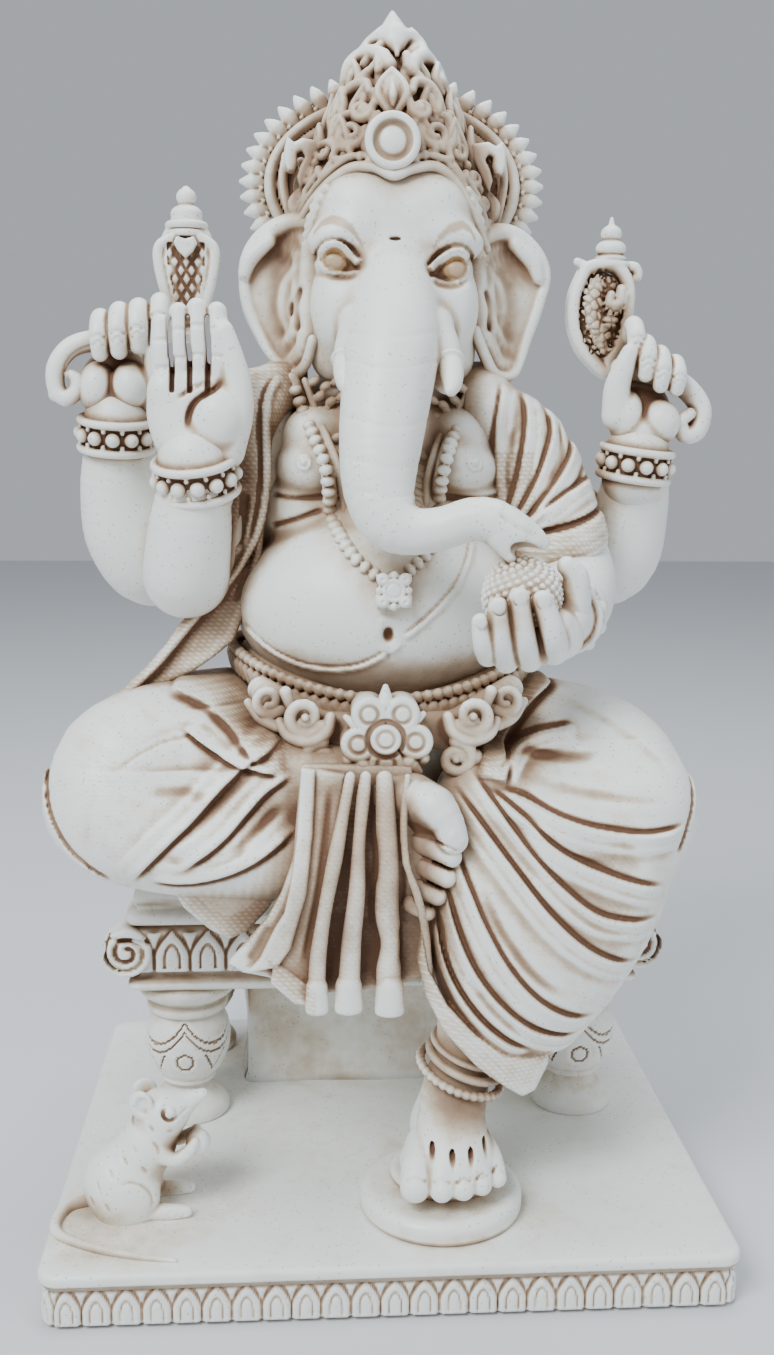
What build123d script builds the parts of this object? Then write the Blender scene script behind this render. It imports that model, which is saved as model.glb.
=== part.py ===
from build123d import *

import math
import os

# A cast marble-dust idol: a four-armed, elephant-headed figure seated on a carved stool,
# one leg folded and one foot on a round foot rest, with a mouse beside it on a plinth.
# Millimetres, +Z up, origin at the centre of the plinth's underside. The figure faces -Y,
# and "right" and "left" are the figure's own, so its right side is at -X.
# Every casting is a separate solid. Where two meet, the later one is cut to the earlier
# one's face or rests on it, which is the glued joint, and steel dowels pin the joints
# that carry the figure, its rear arms, its head and the mouse.

os.makedirs("parts", exist_ok=True)

# ---------------------------------------------------------------- driving dimensions
PLINTH_WIDTH = 240
PLINTH_DEPTH = 204
PLINTH_HEIGHT = 20
PLINTH_LIP = 5  # thickness of the plate that overhangs the petal frieze
PLINTH_INSET = 2  # how far the frieze's face stands back under that plate

STOOL_X = 2  # the stool and the figure stand a little to the left of the plinth's middle
STOOL_WIDTH = 206
STOOL_FRONT = -8
STOOL_BACK = 98
LEG_SPACING = 160
FRONT_LEG_Y = 14
REAR_LEG_Y = 76
BOARD_Z = PLINTH_HEIGHT + 59
SEAT_Z = BOARD_Z + 43

BELLY = (0.5, 6, 231)
BELLY_RADII = (57, 44, 40)
SHOULDER_Z = 291
RIGHT_SHOULDER_X = -44
LEFT_SHOULDER_X = 50
NECK_Z = 314  # the flat joint between the body and the head
HEAD = (4, 20, 352)
HEAD_RADII = (33, 34, 46)
CROWN_Z = 384  # the flat joint between the head and the crown
TIP_Z = 451
BELT_Z = 198
RIGHT_HIP_X = -45
LEFT_HIP_X = 47

DOWEL = 4  # diameter of the steel dowels
DOWEL_FIT = 0.05  # radial gap round each dowel

REST_CENTRE = (19, -63)  # the round foot rest, as seen from above
REST_RADIUS = 29
REST_HEIGHT = 8
STEP_CENTRE = (21, -57)
STEP_RADIUS = 20
STEP_HEIGHT = 3


# ---------------------------------------------------------------- shared shapes
def cos_degrees(angle):
    return math.cos(math.radians(angle))


def sin_degrees(angle):
    return math.sin(math.radians(angle))


def save(node, part):
    """Names a finished piece and writes it."""
    part.label = node
    export_step(part, f"parts/{node}.step")


def cut(fits):
    """Cuts the piece being built back to the faces of the pieces that it fits against."""
    if fits:
        add(fits, mode=Mode.SUBTRACT)


STANDING = (Align.CENTER, Align.CENTER, Align.MIN)
KNUCKLE = 1.03  # each joint's ball is a little larger than the limb that it joins


def limb(path, radii, fits=(), planes=()):
    """Tapered round lengths joined by balls, cut back by the planes, whose positive side is kept."""
    with BuildPart() as piece:
        for start, end, first, last in zip(path, path[1:], radii, radii[1:]):
            along = Vector(*end) - Vector(*start)
            with Locations(Plane(origin=start, z_dir=along)):
                if first == last:
                    Cylinder(first, along.length, align=STANDING)
                else:
                    Cone(first, last, along.length, align=STANDING)
        for point, radius in list(zip(path, radii))[1:-1]:
            with Locations(point):
                Sphere(radius * KNUCKLE)
        for plane in planes:
            split(bisect_by=plane, keep=Keep.TOP)
        cut(fits)
    return piece.part


def egg(centre, radii, fits=(), planes=()):
    """A solid with three different radii, cut as a limb is."""
    with BuildPart() as ball:
        Sphere(1)
    with BuildPart() as piece:
        with Locations(centre):
            add(scale(ball.part, by=radii, mode=Mode.PRIVATE))
        for plane in planes:
            split(bisect_by=plane, keep=Keep.TOP)
        cut(fits)
    return piece.part


def slab(outline, near, thickness, rounding, fits=()):
    """A flat piece with a closed outline in X and Z, from Y = near towards the back."""
    with BuildPart() as piece:
        with BuildSketch(Plane.XZ.offset(-near)):
            with BuildLine():
                Spline(*outline, periodic=True)
            make_face()
        extrude(amount=-thickness)
        fillet(piece.edges(), rounding)
        cut(fits)
    return piece.part


def ring(centre, axis, outer, inner, width, fits=()):
    """A flat band, such as a bracelet, round an axis."""
    with BuildPart() as piece:
        with BuildSketch(Plane(origin=centre, z_dir=axis)):
            Circle(outer)
            Circle(inner, mode=Mode.SUBTRACT)
        extrude(amount=width / 2, both=True)
        cut(fits)
    return piece.part


def dowel_at(centre, axis, length, gap=0.0):
    """A steel dowel, or with a gap the hole that it goes in."""
    with BuildPart() as piece:
        with BuildSketch(Plane(origin=centre, z_dir=axis)):
            Circle(DOWEL / 2 + gap)
        extrude(amount=length / 2 + gap, both=True)
    return piece.part


# ---------------------------------------------------------------- dowels
NECK_PIN = ((4, 24, 313), (0, 0, 1), 30)
RIGHT_ARM_PIN = ((-50, 34, 290), (1, 0, 0.4), 26)
LEFT_ARM_PIN = ((54, 34, 290), (-1, 0, 0.4), 26)
HIP_PIN = ((STOOL_X, 45, SEAT_Z), (0, 0, 1), 36)
CORE_PIN = ((STOOL_X, 60, PLINTH_HEIGHT), (0, 0, 1), 24)
MOUSE_PIN = ((-87, -61, PLINTH_HEIGHT), (0, 0, 1), 14)

neck_dowel = dowel_at(*NECK_PIN)
arm_dowels = dowel_at(*RIGHT_ARM_PIN) + dowel_at(*LEFT_ARM_PIN)
hip_dowel = dowel_at(*HIP_PIN)
plinth_dowels = dowel_at(*CORE_PIN) + dowel_at(*MOUSE_PIN)

neck_hole = dowel_at(*NECK_PIN, gap=DOWEL_FIT)
right_arm_hole = dowel_at(*RIGHT_ARM_PIN, gap=DOWEL_FIT)
left_arm_hole = dowel_at(*LEFT_ARM_PIN, gap=DOWEL_FIT)
hip_hole = dowel_at(*HIP_PIN, gap=DOWEL_FIT)
core_hole = dowel_at(*CORE_PIN, gap=DOWEL_FIT)
mouse_hole = dowel_at(*MOUSE_PIN, gap=DOWEL_FIT)

save("neck_dowel", neck_dowel)
save("arm_dowels", arm_dowels)
save("hip_dowel", hip_dowel)
save("plinth_dowels", plinth_dowels)

# ---------------------------------------------------------------- plinth
with BuildPart() as plinth:
    with BuildSketch():
        RectangleRounded(PLINTH_WIDTH - 2 * PLINTH_INSET, PLINTH_DEPTH - 2 * PLINTH_INSET, 6)
    extrude(amount=PLINTH_HEIGHT - PLINTH_LIP)
    with BuildSketch(Plane.XY.offset(PLINTH_HEIGHT - PLINTH_LIP)):
        RectangleRounded(PLINTH_WIDTH, PLINTH_DEPTH, 8)
    extrude(amount=PLINTH_LIP)
    fillet(plinth.edges().group_by(Axis.Z)[-1], 1.5)
    add(core_hole, mode=Mode.SUBTRACT)
    add(mouse_hole, mode=Mode.SUBTRACT)
save("plinth", plinth.part)


def petal(width, height):
    """A pointed lotus petal's outline, standing on its straight foot."""
    with BuildSketch() as outline:
        with BuildLine():
            shoulder = height * 0.55
            Line((-width / 2, 0), (width / 2, 0))
            Line((width / 2, 0), (width / 2, shoulder))
            RadiusArc((width / 2, shoulder), (0, height), -height * 0.6)
            RadiusArc((0, height), (-width / 2, shoulder), -height * 0.6)
            Line((-width / 2, shoulder), (-width / 2, 0))
        make_face()
    return outline.sketch


PETAL_PITCH = 10
PETAL_HEIGHT = 12
PETAL_FOOT_Z = 1.5
with BuildPart() as plinth_petals:
    for turn, face, length in (
        (0, PLINTH_DEPTH / 2 - PLINTH_INSET, PLINTH_WIDTH),
        (90, PLINTH_WIDTH / 2 - PLINTH_INSET, PLINTH_DEPTH),
        (180, PLINTH_DEPTH / 2 - PLINTH_INSET, PLINTH_WIDTH),
        (270, PLINTH_WIDTH / 2 - PLINTH_INSET, PLINTH_DEPTH),
    ):
        wall = Plane.XY.rotated((0, 0, turn)) * Plane.XZ.offset(face)
        count = round((length - 2 * PETAL_PITCH) / PETAL_PITCH)
        with BuildSketch(wall):
            with Locations((0, PETAL_FOOT_Z)):
                with GridLocations(PETAL_PITCH, 0, count, 1):
                    add(petal(PETAL_PITCH - 1, PETAL_HEIGHT))
        extrude(amount=PLINTH_INSET)
save("plinth_petals", plinth_petals.part)

# ---------------------------------------------------------------- foot rest
with BuildPart() as foot_rest:
    with BuildSketch(Plane.XY.offset(PLINTH_HEIGHT)):
        with Locations(REST_CENTRE):
            Circle(REST_RADIUS)
    extrude(amount=REST_HEIGHT)
    fillet(foot_rest.edges().sort_by(Axis.Z)[-1], 2.5)
save("foot_rest", foot_rest.part)

STEP_Z = PLINTH_HEIGHT + REST_HEIGHT
with BuildPart() as foot_rest_step:
    with BuildSketch(Plane.XY.offset(STEP_Z)):
        with Locations(STEP_CENTRE):
            Circle(STEP_RADIUS)
    extrude(amount=STEP_HEIGHT)
    fillet(foot_rest_step.edges().sort_by(Axis.Z)[-1], 1)
save("foot_rest_step", foot_rest_step.part)

# ---------------------------------------------------------------- stool
CORE_WIDTH = 118
CORE_FRONT = 35
CORE_BACK = STOOL_BACK - 6
with BuildPart() as stool_core:
    with BuildSketch(Plane.XY.offset(PLINTH_HEIGHT)):
        with Locations((STOOL_X, (CORE_FRONT + CORE_BACK) / 2)):
            Rectangle(CORE_WIDTH, CORE_BACK - CORE_FRONT)
    extrude(amount=BOARD_Z - PLINTH_HEIGHT)
    add(core_hole, mode=Mode.SUBTRACT)
save("stool_core", stool_core.part)


def turned_leg(x, y):
    """A turned leg: bell foot, narrow neck, carved bulb and two collars under the board."""
    with BuildPart() as leg:
        with BuildSketch(Plane(origin=(x, y, PLINTH_HEIGHT), x_dir=(1, 0, 0), z_dir=(0, -1, 0))):
            with BuildLine():
                Polyline((0, 0), (16, 0), (16.4, 4))
                Spline((16.4, 4), (13, 9), (8.6, 13.5))
                Polyline((8.6, 13.5), (8.6, 15))
                Spline((8.6, 15), (14.5, 22), (17.4, 33), (14, 44))
                Polyline((14, 44), (15.5, 46), (15.5, 50), (17.5, 52), (17.5, 56), (16, 59), (0, 59))
                Line((0, 59), (0, 0))
            make_face()
        revolve(axis=Axis((x, y, 0), (0, 0, 1)))
    return leg.part


for node, side, y in (
    ("stool_leg_front_right", -1, FRONT_LEG_Y),
    ("stool_leg_front_left", 1, FRONT_LEG_Y),
    ("stool_leg_rear_right", -1, REAR_LEG_Y),
    ("stool_leg_rear_left", 1, REAR_LEG_Y),
):
    save(node, turned_leg(STOOL_X + side * LEG_SPACING / 2, y))

STOOL_DEPTH = STOOL_BACK - STOOL_FRONT
STOOL_Y = (STOOL_BACK + STOOL_FRONT) / 2
LIP = 4
FRIEZE_Z = BOARD_Z + LIP + 4
FRIEZE_HEIGHT = 17
with BuildPart() as stool_board:
    for bottom, height, inset in (
        (BOARD_Z, LIP, 2),
        (BOARD_Z + LIP, FRIEZE_Z - BOARD_Z - LIP, 6),
        (FRIEZE_Z, FRIEZE_HEIGHT, 3),
        (FRIEZE_Z + FRIEZE_HEIGHT, 2, 6),
    ):
        with BuildSketch(Plane.XY.offset(bottom)):
            with Locations((STOOL_X, STOOL_Y)):
                RectangleRounded(STOOL_WIDTH - 2 * inset, STOOL_DEPTH - 2 * inset, 4)
        extrude(amount=height)
    add(hip_hole, mode=Mode.SUBTRACT)
save("stool_board", stool_board.part)

CUSHION_Z = FRIEZE_Z + FRIEZE_HEIGHT + 2
CUSHION_EDGE = 5  # height of the cushion's projecting lower edge
with BuildPart() as stool_cushion:
    for bottom, height, inset in (
        (CUSHION_Z, CUSHION_EDGE, 1),
        (CUSHION_Z + CUSHION_EDGE, SEAT_Z - CUSHION_Z - CUSHION_EDGE, 6),
    ):
        with BuildSketch(Plane.XY.offset(bottom)):
            with Locations((STOOL_X, STOOL_Y)):
                RectangleRounded(STOOL_WIDTH - 2 * inset, STOOL_DEPTH - 2 * inset, 4)
        extrude(amount=height)
    fillet(stool_cushion.edges().group_by(Axis.Z)[-1], 3)
    add(hip_hole, mode=Mode.SUBTRACT)
save("stool_cushion", stool_cushion.part)

STOOL_PETAL_PITCH = 14
STOOL_PETAL_DEPTH = 3
STOOL_PETAL_COUNT = 12
with BuildPart() as stool_petals:
    with BuildSketch(Plane.XZ.offset(-(STOOL_FRONT + STOOL_PETAL_DEPTH))):
        with Locations((STOOL_X, FRIEZE_Z)):
            with GridLocations(STOOL_PETAL_PITCH, 0, STOOL_PETAL_COUNT, 1):
                add(petal(STOOL_PETAL_PITCH - 1.5, FRIEZE_HEIGHT - 1))
    extrude(amount=STOOL_PETAL_DEPTH)
save("stool_petals", stool_petals.part)

SCROLL_RADIUS = 10
SCROLL_DEPTH = 14
with BuildPart() as stool_scrolls:
    for side in (-1, 1):
        centre = (STOOL_X + side * (STOOL_WIDTH / 2 - 1), FRIEZE_Z + FRIEZE_HEIGHT / 2)
        with BuildSketch(Plane.XZ.offset(-STOOL_FRONT)):
            with Locations(centre):
                Circle(SCROLL_RADIUS)
        extrude(amount=-SCROLL_DEPTH)
    cut((stool_board.part, stool_cushion.part, stool_petals.part))
save("stool_scrolls", stool_scrolls.part)

# ---------------------------------------------------------------- mouse
ABOVE_PLINTH = Plane.XY.offset(PLINTH_HEIGHT)
PAW_RADIUS = 6.5
MOUSE_EAR_RADIUS = 4
mouse_body = limb([(-99, -62, 20), (-94, -61, 34), (-86, -60, 46), (-80, -60, 57)], [13, 14.5, 12, 8.5])
mouse_snout = limb([(-88, -60, 53), (-78, -60, 56), (-66, -59, 61)], [8, 8.5, 3])
with BuildPart() as mouse:
    add(mouse_body)
    add(mouse_snout)
    with Locations((-84, -66, 44), (-84, -54, 44), (-82, -67, 25), (-82, -53, 25)):
        Sphere(PAW_RADIUS)
    with Locations((-88, -66, 61), (-88, -54, 61)):
        Sphere(MOUSE_EAR_RADIUS)
    split(bisect_by=ABOVE_PLINTH, keep=Keep.TOP)
    add(mouse_hole, mode=Mode.SUBTRACT)
save("mouse", mouse.part)

# ---------------------------------------------------------------- body
belly = egg(BELLY, BELLY_RADII)
SPINE = (1, 25)
SHOULDER_RADIUS = 20
CHEST_RADIUS = 15
shoulders = limb(
    [(RIGHT_SHOULDER_X, 30, SHOULDER_Z), (LEFT_SHOULDER_X, 30, SHOULDER_Z)],
    [SHOULDER_RADIUS, SHOULDER_RADIUS],
)
with BuildPart() as torso:
    with BuildSketch(Plane(origin=(*SPINE, 0), x_dir=(1, 0, 0), z_dir=(0, -1, 0))):
        with BuildLine():
            Polyline((0, 222), (45, 222), (43, 250), (37, 284))
            Polyline((37, 284), (28, 303), (19, NECK_Z), (0, NECK_Z), (0, 222))
        make_face()
    revolve(axis=Axis((*SPINE, 0), (0, 0, 1)))
    add(shoulders)
    with Locations((-25, -1, 284), (29, -1, 284)):
        Sphere(CHEST_RADIUS)
    add(belly)
    cut((neck_hole, right_arm_hole, left_arm_hole))
save("torso", torso.part)

with BuildPart() as hips:
    with BuildSketch(Plane.XY.offset(SEAT_Z)):
        with Locations(SPINE):
            Ellipse(66, 52)
    extrude(amount=BELT_Z - SEAT_Z)
    split(bisect_by=Plane.YZ.offset(RIGHT_HIP_X), keep=Keep.TOP)
    split(bisect_by=Plane.YZ.offset(LEFT_HIP_X), keep=Keep.BOTTOM)
    cut((belly, hip_hole))
save("hips", hips.part)

# ---------------------------------------------------------------- legs in the dhoti
FOLD_Z = 148  # the folded leg's thigh lies on its shin here
right_hip = Plane(origin=(RIGHT_HIP_X, 0, 0), z_dir=(-1, 0, 0))
left_hip = Plane(origin=(LEFT_HIP_X, 0, 0), z_dir=(1, 0, 0))
fold_up = Plane(origin=(0, 0, FOLD_Z), z_dir=(0, 0, 1))
fold_down = Plane(origin=(0, 0, FOLD_Z), z_dir=(0, 0, -1))
KNEE = (84, -36, 146)  # the hanging leg's thigh and shin meet on a sloping plane here
knee_up = Plane(origin=KNEE, z_dir=(0.25, 0.25, 1))
knee_down = Plane(origin=KNEE, z_dir=(-0.25, -0.25, -1))

right_thigh = limb(
    [(-30, 24, 164), (-62, 4, 165), (-88, -20, 166), (-108, -34, 160), (-117, -38, 157)],
    [31, 31, 31, 22, 10],
    planes=(right_hip, fold_up),
)
right_shin = limb(
    [(-110, -36, 150), (-88, -40, 148), (-46, -41, 144), (6, -44, 144)],
    [12, 22, 21, 10],
    planes=(fold_down,),
)
left_thigh = limb(
    [(32, 24, 164), (62, 4, 164), (80, -14, 164), (98, -34, 158), (106, -40, 152)],
    [31, 32, 32, 22, 10],
    planes=(left_hip, knee_up),
)
left_shin = limb(
    [(88, -34, 158), (78, -42, 128), (60, -48, 98), (48, -50, 80)],
    [26, 27, 25, 20],
    planes=(knee_down,),
)
save("dhoti_right_thigh", right_thigh)
save("dhoti_right_shin", right_shin)
save("dhoti_left_thigh", left_thigh)
save("dhoti_left_shin", left_shin)

# ---------------------------------------------------------------- feet
SOLE_Z = STEP_Z + STEP_HEIGHT
SOLE_THICKNESS = 7
BIG_TOE_RADIUS = 5
ankle = limb([(42, -50, 92), (31, -51, 68), (26, -50, 50), (24, -50, 38)], [12, 12.5, 12.5, 13])
with BuildPart() as left_foot:
    add(ankle)
    with BuildSketch(Plane.XY.offset(SOLE_Z)):
        with BuildLine():
            Spline((10, -48), (25, -36), (38, -48), (38, -66), (32, -76), (17, -81), (5, -72), periodic=True)
        make_face()
    extrude(amount=SOLE_THICKNESS)
    for i, (x, y) in enumerate(((8, -73), (16, -77), (23, -76), (29, -74), (34, -71))):
        with Locations((x, y, SOLE_Z + BIG_TOE_RADIUS - 1)):
            Sphere(BIG_TOE_RADIUS - 0.4 * i)
    split(bisect_by=Plane.XY.offset(SOLE_Z), keep=Keep.TOP)
    cut((left_shin,))
save("left_foot", left_foot.part)

TOE_RADIUS = 4.3
instep = limb([(13, -46, 168), (17, -52, 161), (20, -55, 147), (22, -55, 135)], [6, 8, 7.5, 4.5])
with BuildPart() as right_foot:
    add(instep)
    with Locations((17, -58, 166), (21.5, -60.5, 159.5), (24.5, -61.5, 152), (26, -61, 144)):
        Sphere(TOE_RADIUS)
save("right_foot", right_foot.part)

CUFF = (51, -49.5, 84.5)  # on the shin's axis, just above its end
CUFF_AXIS = (12, 2, 18)
CUFF_RADIUS = 26.5
CUFF_INNER_RADIUS = 22.5  # clear of the tapering shin inside it
left_cuff = ring(CUFF, CUFF_AXIS, CUFF_RADIUS, CUFF_INNER_RADIUS, 8)
save("left_cuff", left_cuff)

left_anklet = ring((29, -50.6, 62), (5, 1, 18), 16.5, 13.5, 5, fits=(left_foot.part, left_cuff))
save("left_anklet", left_anklet)

# ---------------------------------------------------------------- hanging cloth
PLEAT_COUNT = 6
PLEAT_PITCH = 8
PLEAT_WIDTH = 7
PLEAT_TOP = 168
PLEAT_FOLD_Z = 150  # where the pleats come over the shin and start to hang
PLEAT_END_Z = 92
PLEAT_BACK = -64.5
PLEAT_THICKNESS = 7
HEM_BACK = -38
HEM_THICKNESS = 6
FIRST_PLEAT_X = -43
with BuildPart() as front_pleats:
    for i in range(PLEAT_COUNT):
        end_z = PLEAT_END_Z + 3 * (i % 2)
        with BuildSketch(Plane.YZ.offset(FIRST_PLEAT_X + i * PLEAT_PITCH)):
            with BuildLine():
                Polyline(
                    (PLEAT_BACK, end_z),
                    (PLEAT_BACK - PLEAT_THICKNESS, end_z),
                    (PLEAT_BACK - PLEAT_THICKNESS + 1, PLEAT_FOLD_Z),
                    (PLEAT_BACK + 4, PLEAT_TOP),
                    (PLEAT_BACK + 10, PLEAT_TOP),
                    (PLEAT_BACK, PLEAT_FOLD_Z),
                    (PLEAT_BACK, end_z),
                )
            make_face()
        extrude(amount=PLEAT_WIDTH)
save("front_pleats", front_pleats.part)

with BuildPart() as shin_hem:
    with BuildSketch(Plane.XZ.offset(-HEM_BACK)):
        with BuildLine():
            Polyline((-88, 134), (-66, 106), (-40, 94), (-6, 92), (-2, 134), (-88, 134))
        make_face()
    extrude(amount=HEM_THICKNESS)
    cut((right_shin,))
save("shin_hem", shin_hem.part)

# ---------------------------------------------------------------- arms
right_side = Plane(origin=(RIGHT_SHOULDER_X, 0, 0), z_dir=(-1, 0, 0))
left_side = Plane(origin=(LEFT_SHOULDER_X, 0, 0), z_dir=(1, 0, 0))
right_rear_arm = limb(
    [(-34, 46, 296), (-68, 36, 267), (-88, 28, 240), (-98, 20, 262), (-102, 15, 288)],
    [13, 15, 17, 14, 11],
    fits=(right_arm_hole,),
    planes=(right_side,),
)
right_front_arm = limb(
    [(-34, 12, 300), (-60, 5, 264), (-71, -4, 242), (-69, -14, 258), (-68, -20, 278)],
    [13, 14, 16, 14, 11],
    fits=(belly,),
    planes=(right_side,),
)
left_rear_arm = limb(
    [(42, 46, 296), (74, 38, 266), (92, 32, 240), (100, 28, 260), (103, 25, 280)],
    [13, 15, 18, 15, 11],
    fits=(left_arm_hole,),
    planes=(left_side,),
)
left_front_arm = limb(
    [(40, 12, 302), (64, 5, 266), (72, -5, 244), (69, -24, 235), (60, -42, 231), (53, -50, 230)],
    [13, 15, 17, 15, 11, 8],
    fits=(belly,),
    planes=(left_side,),
)
save("right_rear_arm", right_rear_arm)
save("right_front_arm", right_front_arm)
save("left_rear_arm", left_rear_arm)
save("left_front_arm", left_front_arm)

BRACELET = (14.5, 12, 9)  # outer radius, inner radius and width
bracelets = (
    ring((-102, 15, 284), (-4, -5, 26), *BRACELET, fits=(right_rear_arm,))
    + ring((-68, -19, 274), (1, -6, 20), *BRACELET, fits=(right_front_arm,))
    + ring((103, 25, 276), (3, -3, 20), *BRACELET, fits=(left_rear_arm,))
)
save("bracelets", bracelets)

# ---------------------------------------------------------------- hands
FINGER_RADIUS = 4
WRIST_Z = 279  # the flat joint at the raised hand's wrist
palm_outline = [(-78, 279), (-58, 279), (-52, 300), (-54, 322), (-66, 326), (-79, 322), (-83, 300)]
palm = slab(palm_outline, -27, 11, 2)
raised_fingers = [
    limb([(x, -22, 318), (x, -24, top - 4), (x, -24, top)], [FINGER_RADIUS, FINGER_RADIUS, 2])
    for x, top in ((-77, 336), (-69.5, 341), (-62, 340), (-55.5, 333))
]
raised_thumb = limb([(-60, -26, 296), (-53, -30, 308), (-56, -31, 320)], [5, 5, 3])
with BuildPart() as right_front_hand:
    add(palm)
    add(raised_fingers)
    add(raised_thumb)
    split(bisect_by=Plane.XY.offset(WRIST_Z), keep=Keep.TOP)
    cut((right_front_arm, bracelets))
save("right_front_hand", right_front_hand.part)

KNUCKLE_PITCH = 7
FIST_RADIUS = 14


def fist(wrist, knuckles, side, fits):
    """A closed hand: a palm on the wrist and four fingers curled forwards over a rod."""
    closed_palm = limb([wrist, knuckles], [9, 13])
    x, y, z = knuckles
    fingers = [
        limb(
            [
                (x + side * (2 - i), y, z + 9 - KNUCKLE_PITCH * i),
                (x + side * (1 - i), y - 14, z + 9 - KNUCKLE_PITCH * i),
                (x - side * (4 + i), y - 17, z + 7 - KNUCKLE_PITCH * i),
            ],
            [5.5, 4.5, 4],
        )
        for i in range(4)
    ]
    with BuildPart() as hand:
        add(closed_palm)
        add(fingers)
        with Locations(knuckles):
            Sphere(FIST_RADIUS)
        cut(fits)
    return hand.part


right_rear_hand = fist((-102, 15, 288), (-101, 13, 318), -1, (right_rear_arm, bracelets))
left_rear_hand = fist((103, 25, 280), (107, 24, 312), 1, (left_rear_arm, bracelets))
save("right_rear_hand", right_rear_hand)
save("left_rear_hand", left_rear_hand)

cupped_palm = limb([(56, -48, 231), (48, -52, 226), (38, -53, 228)], [8, 9, 7])
cupped_fingers = [
    limb([(x, -56, 222), (x - 1, -66, 228), (x - 2, -67, top)], [5, 4.5, 3])
    for x, top in ((56, 240), (48.5, 243), (41.5, 243), (35, 240))
]
with BuildPart() as left_front_hand:
    add(cupped_palm)
    add(cupped_fingers)
    cut((left_front_arm,))
save("left_front_hand", left_front_hand.part)

SWEET_RADIUS = 13.5
with BuildPart() as sweet:
    with Locations((43, -55, 245)):
        Sphere(SWEET_RADIUS)
    cut((left_front_hand.part, left_front_arm))
save("sweet", sweet.part)

# ---------------------------------------------------------------- what the rear hands hold
FINIAL = (-73, 20)  # the upright part of what the right hand holds
goad_rod = limb(
    [(-73, 17, 332), (-84, 8, 326), (-108, 6, 326), (-119, 6, 322), (-121, 6, 310)],
    [3, 4, 4, 4, 3],
)
with BuildPart() as right_goad:
    with BuildSketch(Plane(origin=(*FINIAL, 0), x_dir=(1, 0, 0), z_dir=(0, -1, 0))):
        with BuildLine():
            Polyline((0, 326), (5, 326))
            Spline((5, 326), (11, 344), (11.5, 360), (7, 367))
            Polyline((7, 367), (6, 371), (7, 374), (4, 377), (5, 380), (0, 386), (0, 326))
        make_face()
    revolve(axis=Axis((*FINIAL, 0), (0, 0, 1)))
    add(goad_rod)
    cut((right_rear_hand,))
save("right_goad", right_goad.part)

noose_leaf = egg((86, 24, 346), (12, 7, 24))
noose_finial = limb([(86, 24, 366), (87, 24, 372), (88, 24, 378)], [6, 4.5, 2.5])
noose_rod = limb(
    [(86, 22, 326), (92, 16, 320), (112, 14, 318), (125, 14, 316), (126, 14, 302)],
    [3, 4, 4, 4, 3],
)
with BuildPart() as left_noose:
    add(noose_leaf)
    add(noose_finial)
    add(noose_rod)
    cut((left_rear_hand,))
save("left_noose", left_noose.part)

# ---------------------------------------------------------------- head
head = egg(
    HEAD,
    HEAD_RADII,
    fits=(neck_hole,),
    planes=(
        Plane(origin=(0, 0, NECK_Z), z_dir=(0, 0, 1)),
        Plane(origin=(0, 0, CROWN_Z), z_dir=(0, 0, -1)),
    ),
)
save("head", head)

trunk = limb(
    [(2, 8, 354), (0, -27, 316), (-1, -46, 270), (22, -55, 263), (48, -60, 267)],
    [11, 16, 11, 9, 5],
    fits=(head, torso.part),
)
save("trunk", trunk)

tusks = (
    limb([(-14, -8, 326), (-17, -22, 318), (-17, -30, 313)], [4, 4, 2], fits=(head, trunk))
    + limb([(20, -8, 326), (23, -22, 316), (23, -31, 309)], [4.5, 4.5, 2], fits=(head, trunk))
)
save("tusks", tusks)

EAR_THICKNESS = 9
EAR_Y = 14
right_ear_outline = [(-26, 368), (-40, 377), (-51, 364), (-49, 344), (-38, 322), (-30, 318), (-27, 340)]
left_ear_outline = [(34, 366), (50, 374), (63, 362), (60, 342), (48, 322), (40, 318), (36, 340)]
right_ear = slab(right_ear_outline, EAR_Y, EAR_THICKNESS, 2, fits=(head,))
left_ear = slab(left_ear_outline, EAR_Y, EAR_THICKNESS, 2, fits=(head,))
save("right_ear", right_ear)
save("left_ear", left_ear)

# ---------------------------------------------------------------- crown
CROWN_CENTRE = (5, 24)
front_of_crown = Plane(origin=(*CROWN_CENTRE, 0), x_dir=(1, 0, 0), z_dir=(0, -1, 0))
with BuildPart() as crown_cap:
    with BuildSketch(front_of_crown):
        with BuildLine():
            Polyline((0, CROWN_Z), (29, CROWN_Z), (29, 396), (32, 398))
            Spline((32, 398), (28, 410), (20, 427), (10, 442), (0, TIP_Z))
            Line((0, TIP_Z), (0, CROWN_Z))
        make_face()
    revolve(axis=Axis((*CROWN_CENTRE, 0), (0, 0, 1)))
save("crown_cap", crown_cap.part)

BAND_Z = 372
BAND_HEIGHT = 24
with BuildPart() as crown_band:
    with BuildSketch(Plane.XY.offset(BAND_Z)):
        with Locations(CROWN_CENTRE):
            Circle(38)
            Ellipse(31, 33, mode=Mode.SUBTRACT)
    extrude(amount=BAND_HEIGHT)
    cut((head, right_ear, left_ear))
save("crown_band", crown_band.part)

HALO = (6, 46, 392)
HALO_RADII = (50, 34)
PETAL_RING_RADII = (55, 39)
HALO_PETAL_RADIUS = 3.8
HALO_PETAL_TURN = 9  # degrees from one petal to the next
halo_plane = Plane(origin=HALO, x_dir=(1, 0, 0), z_dir=(0, -1, 0))
with BuildPart() as crown_halo:
    with BuildSketch(halo_plane):
        Ellipse(*HALO_RADII)
    extrude(amount=4, both=True)
    cut((head, crown_cap.part, crown_band.part))
save("crown_halo", crown_halo.part)

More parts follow.
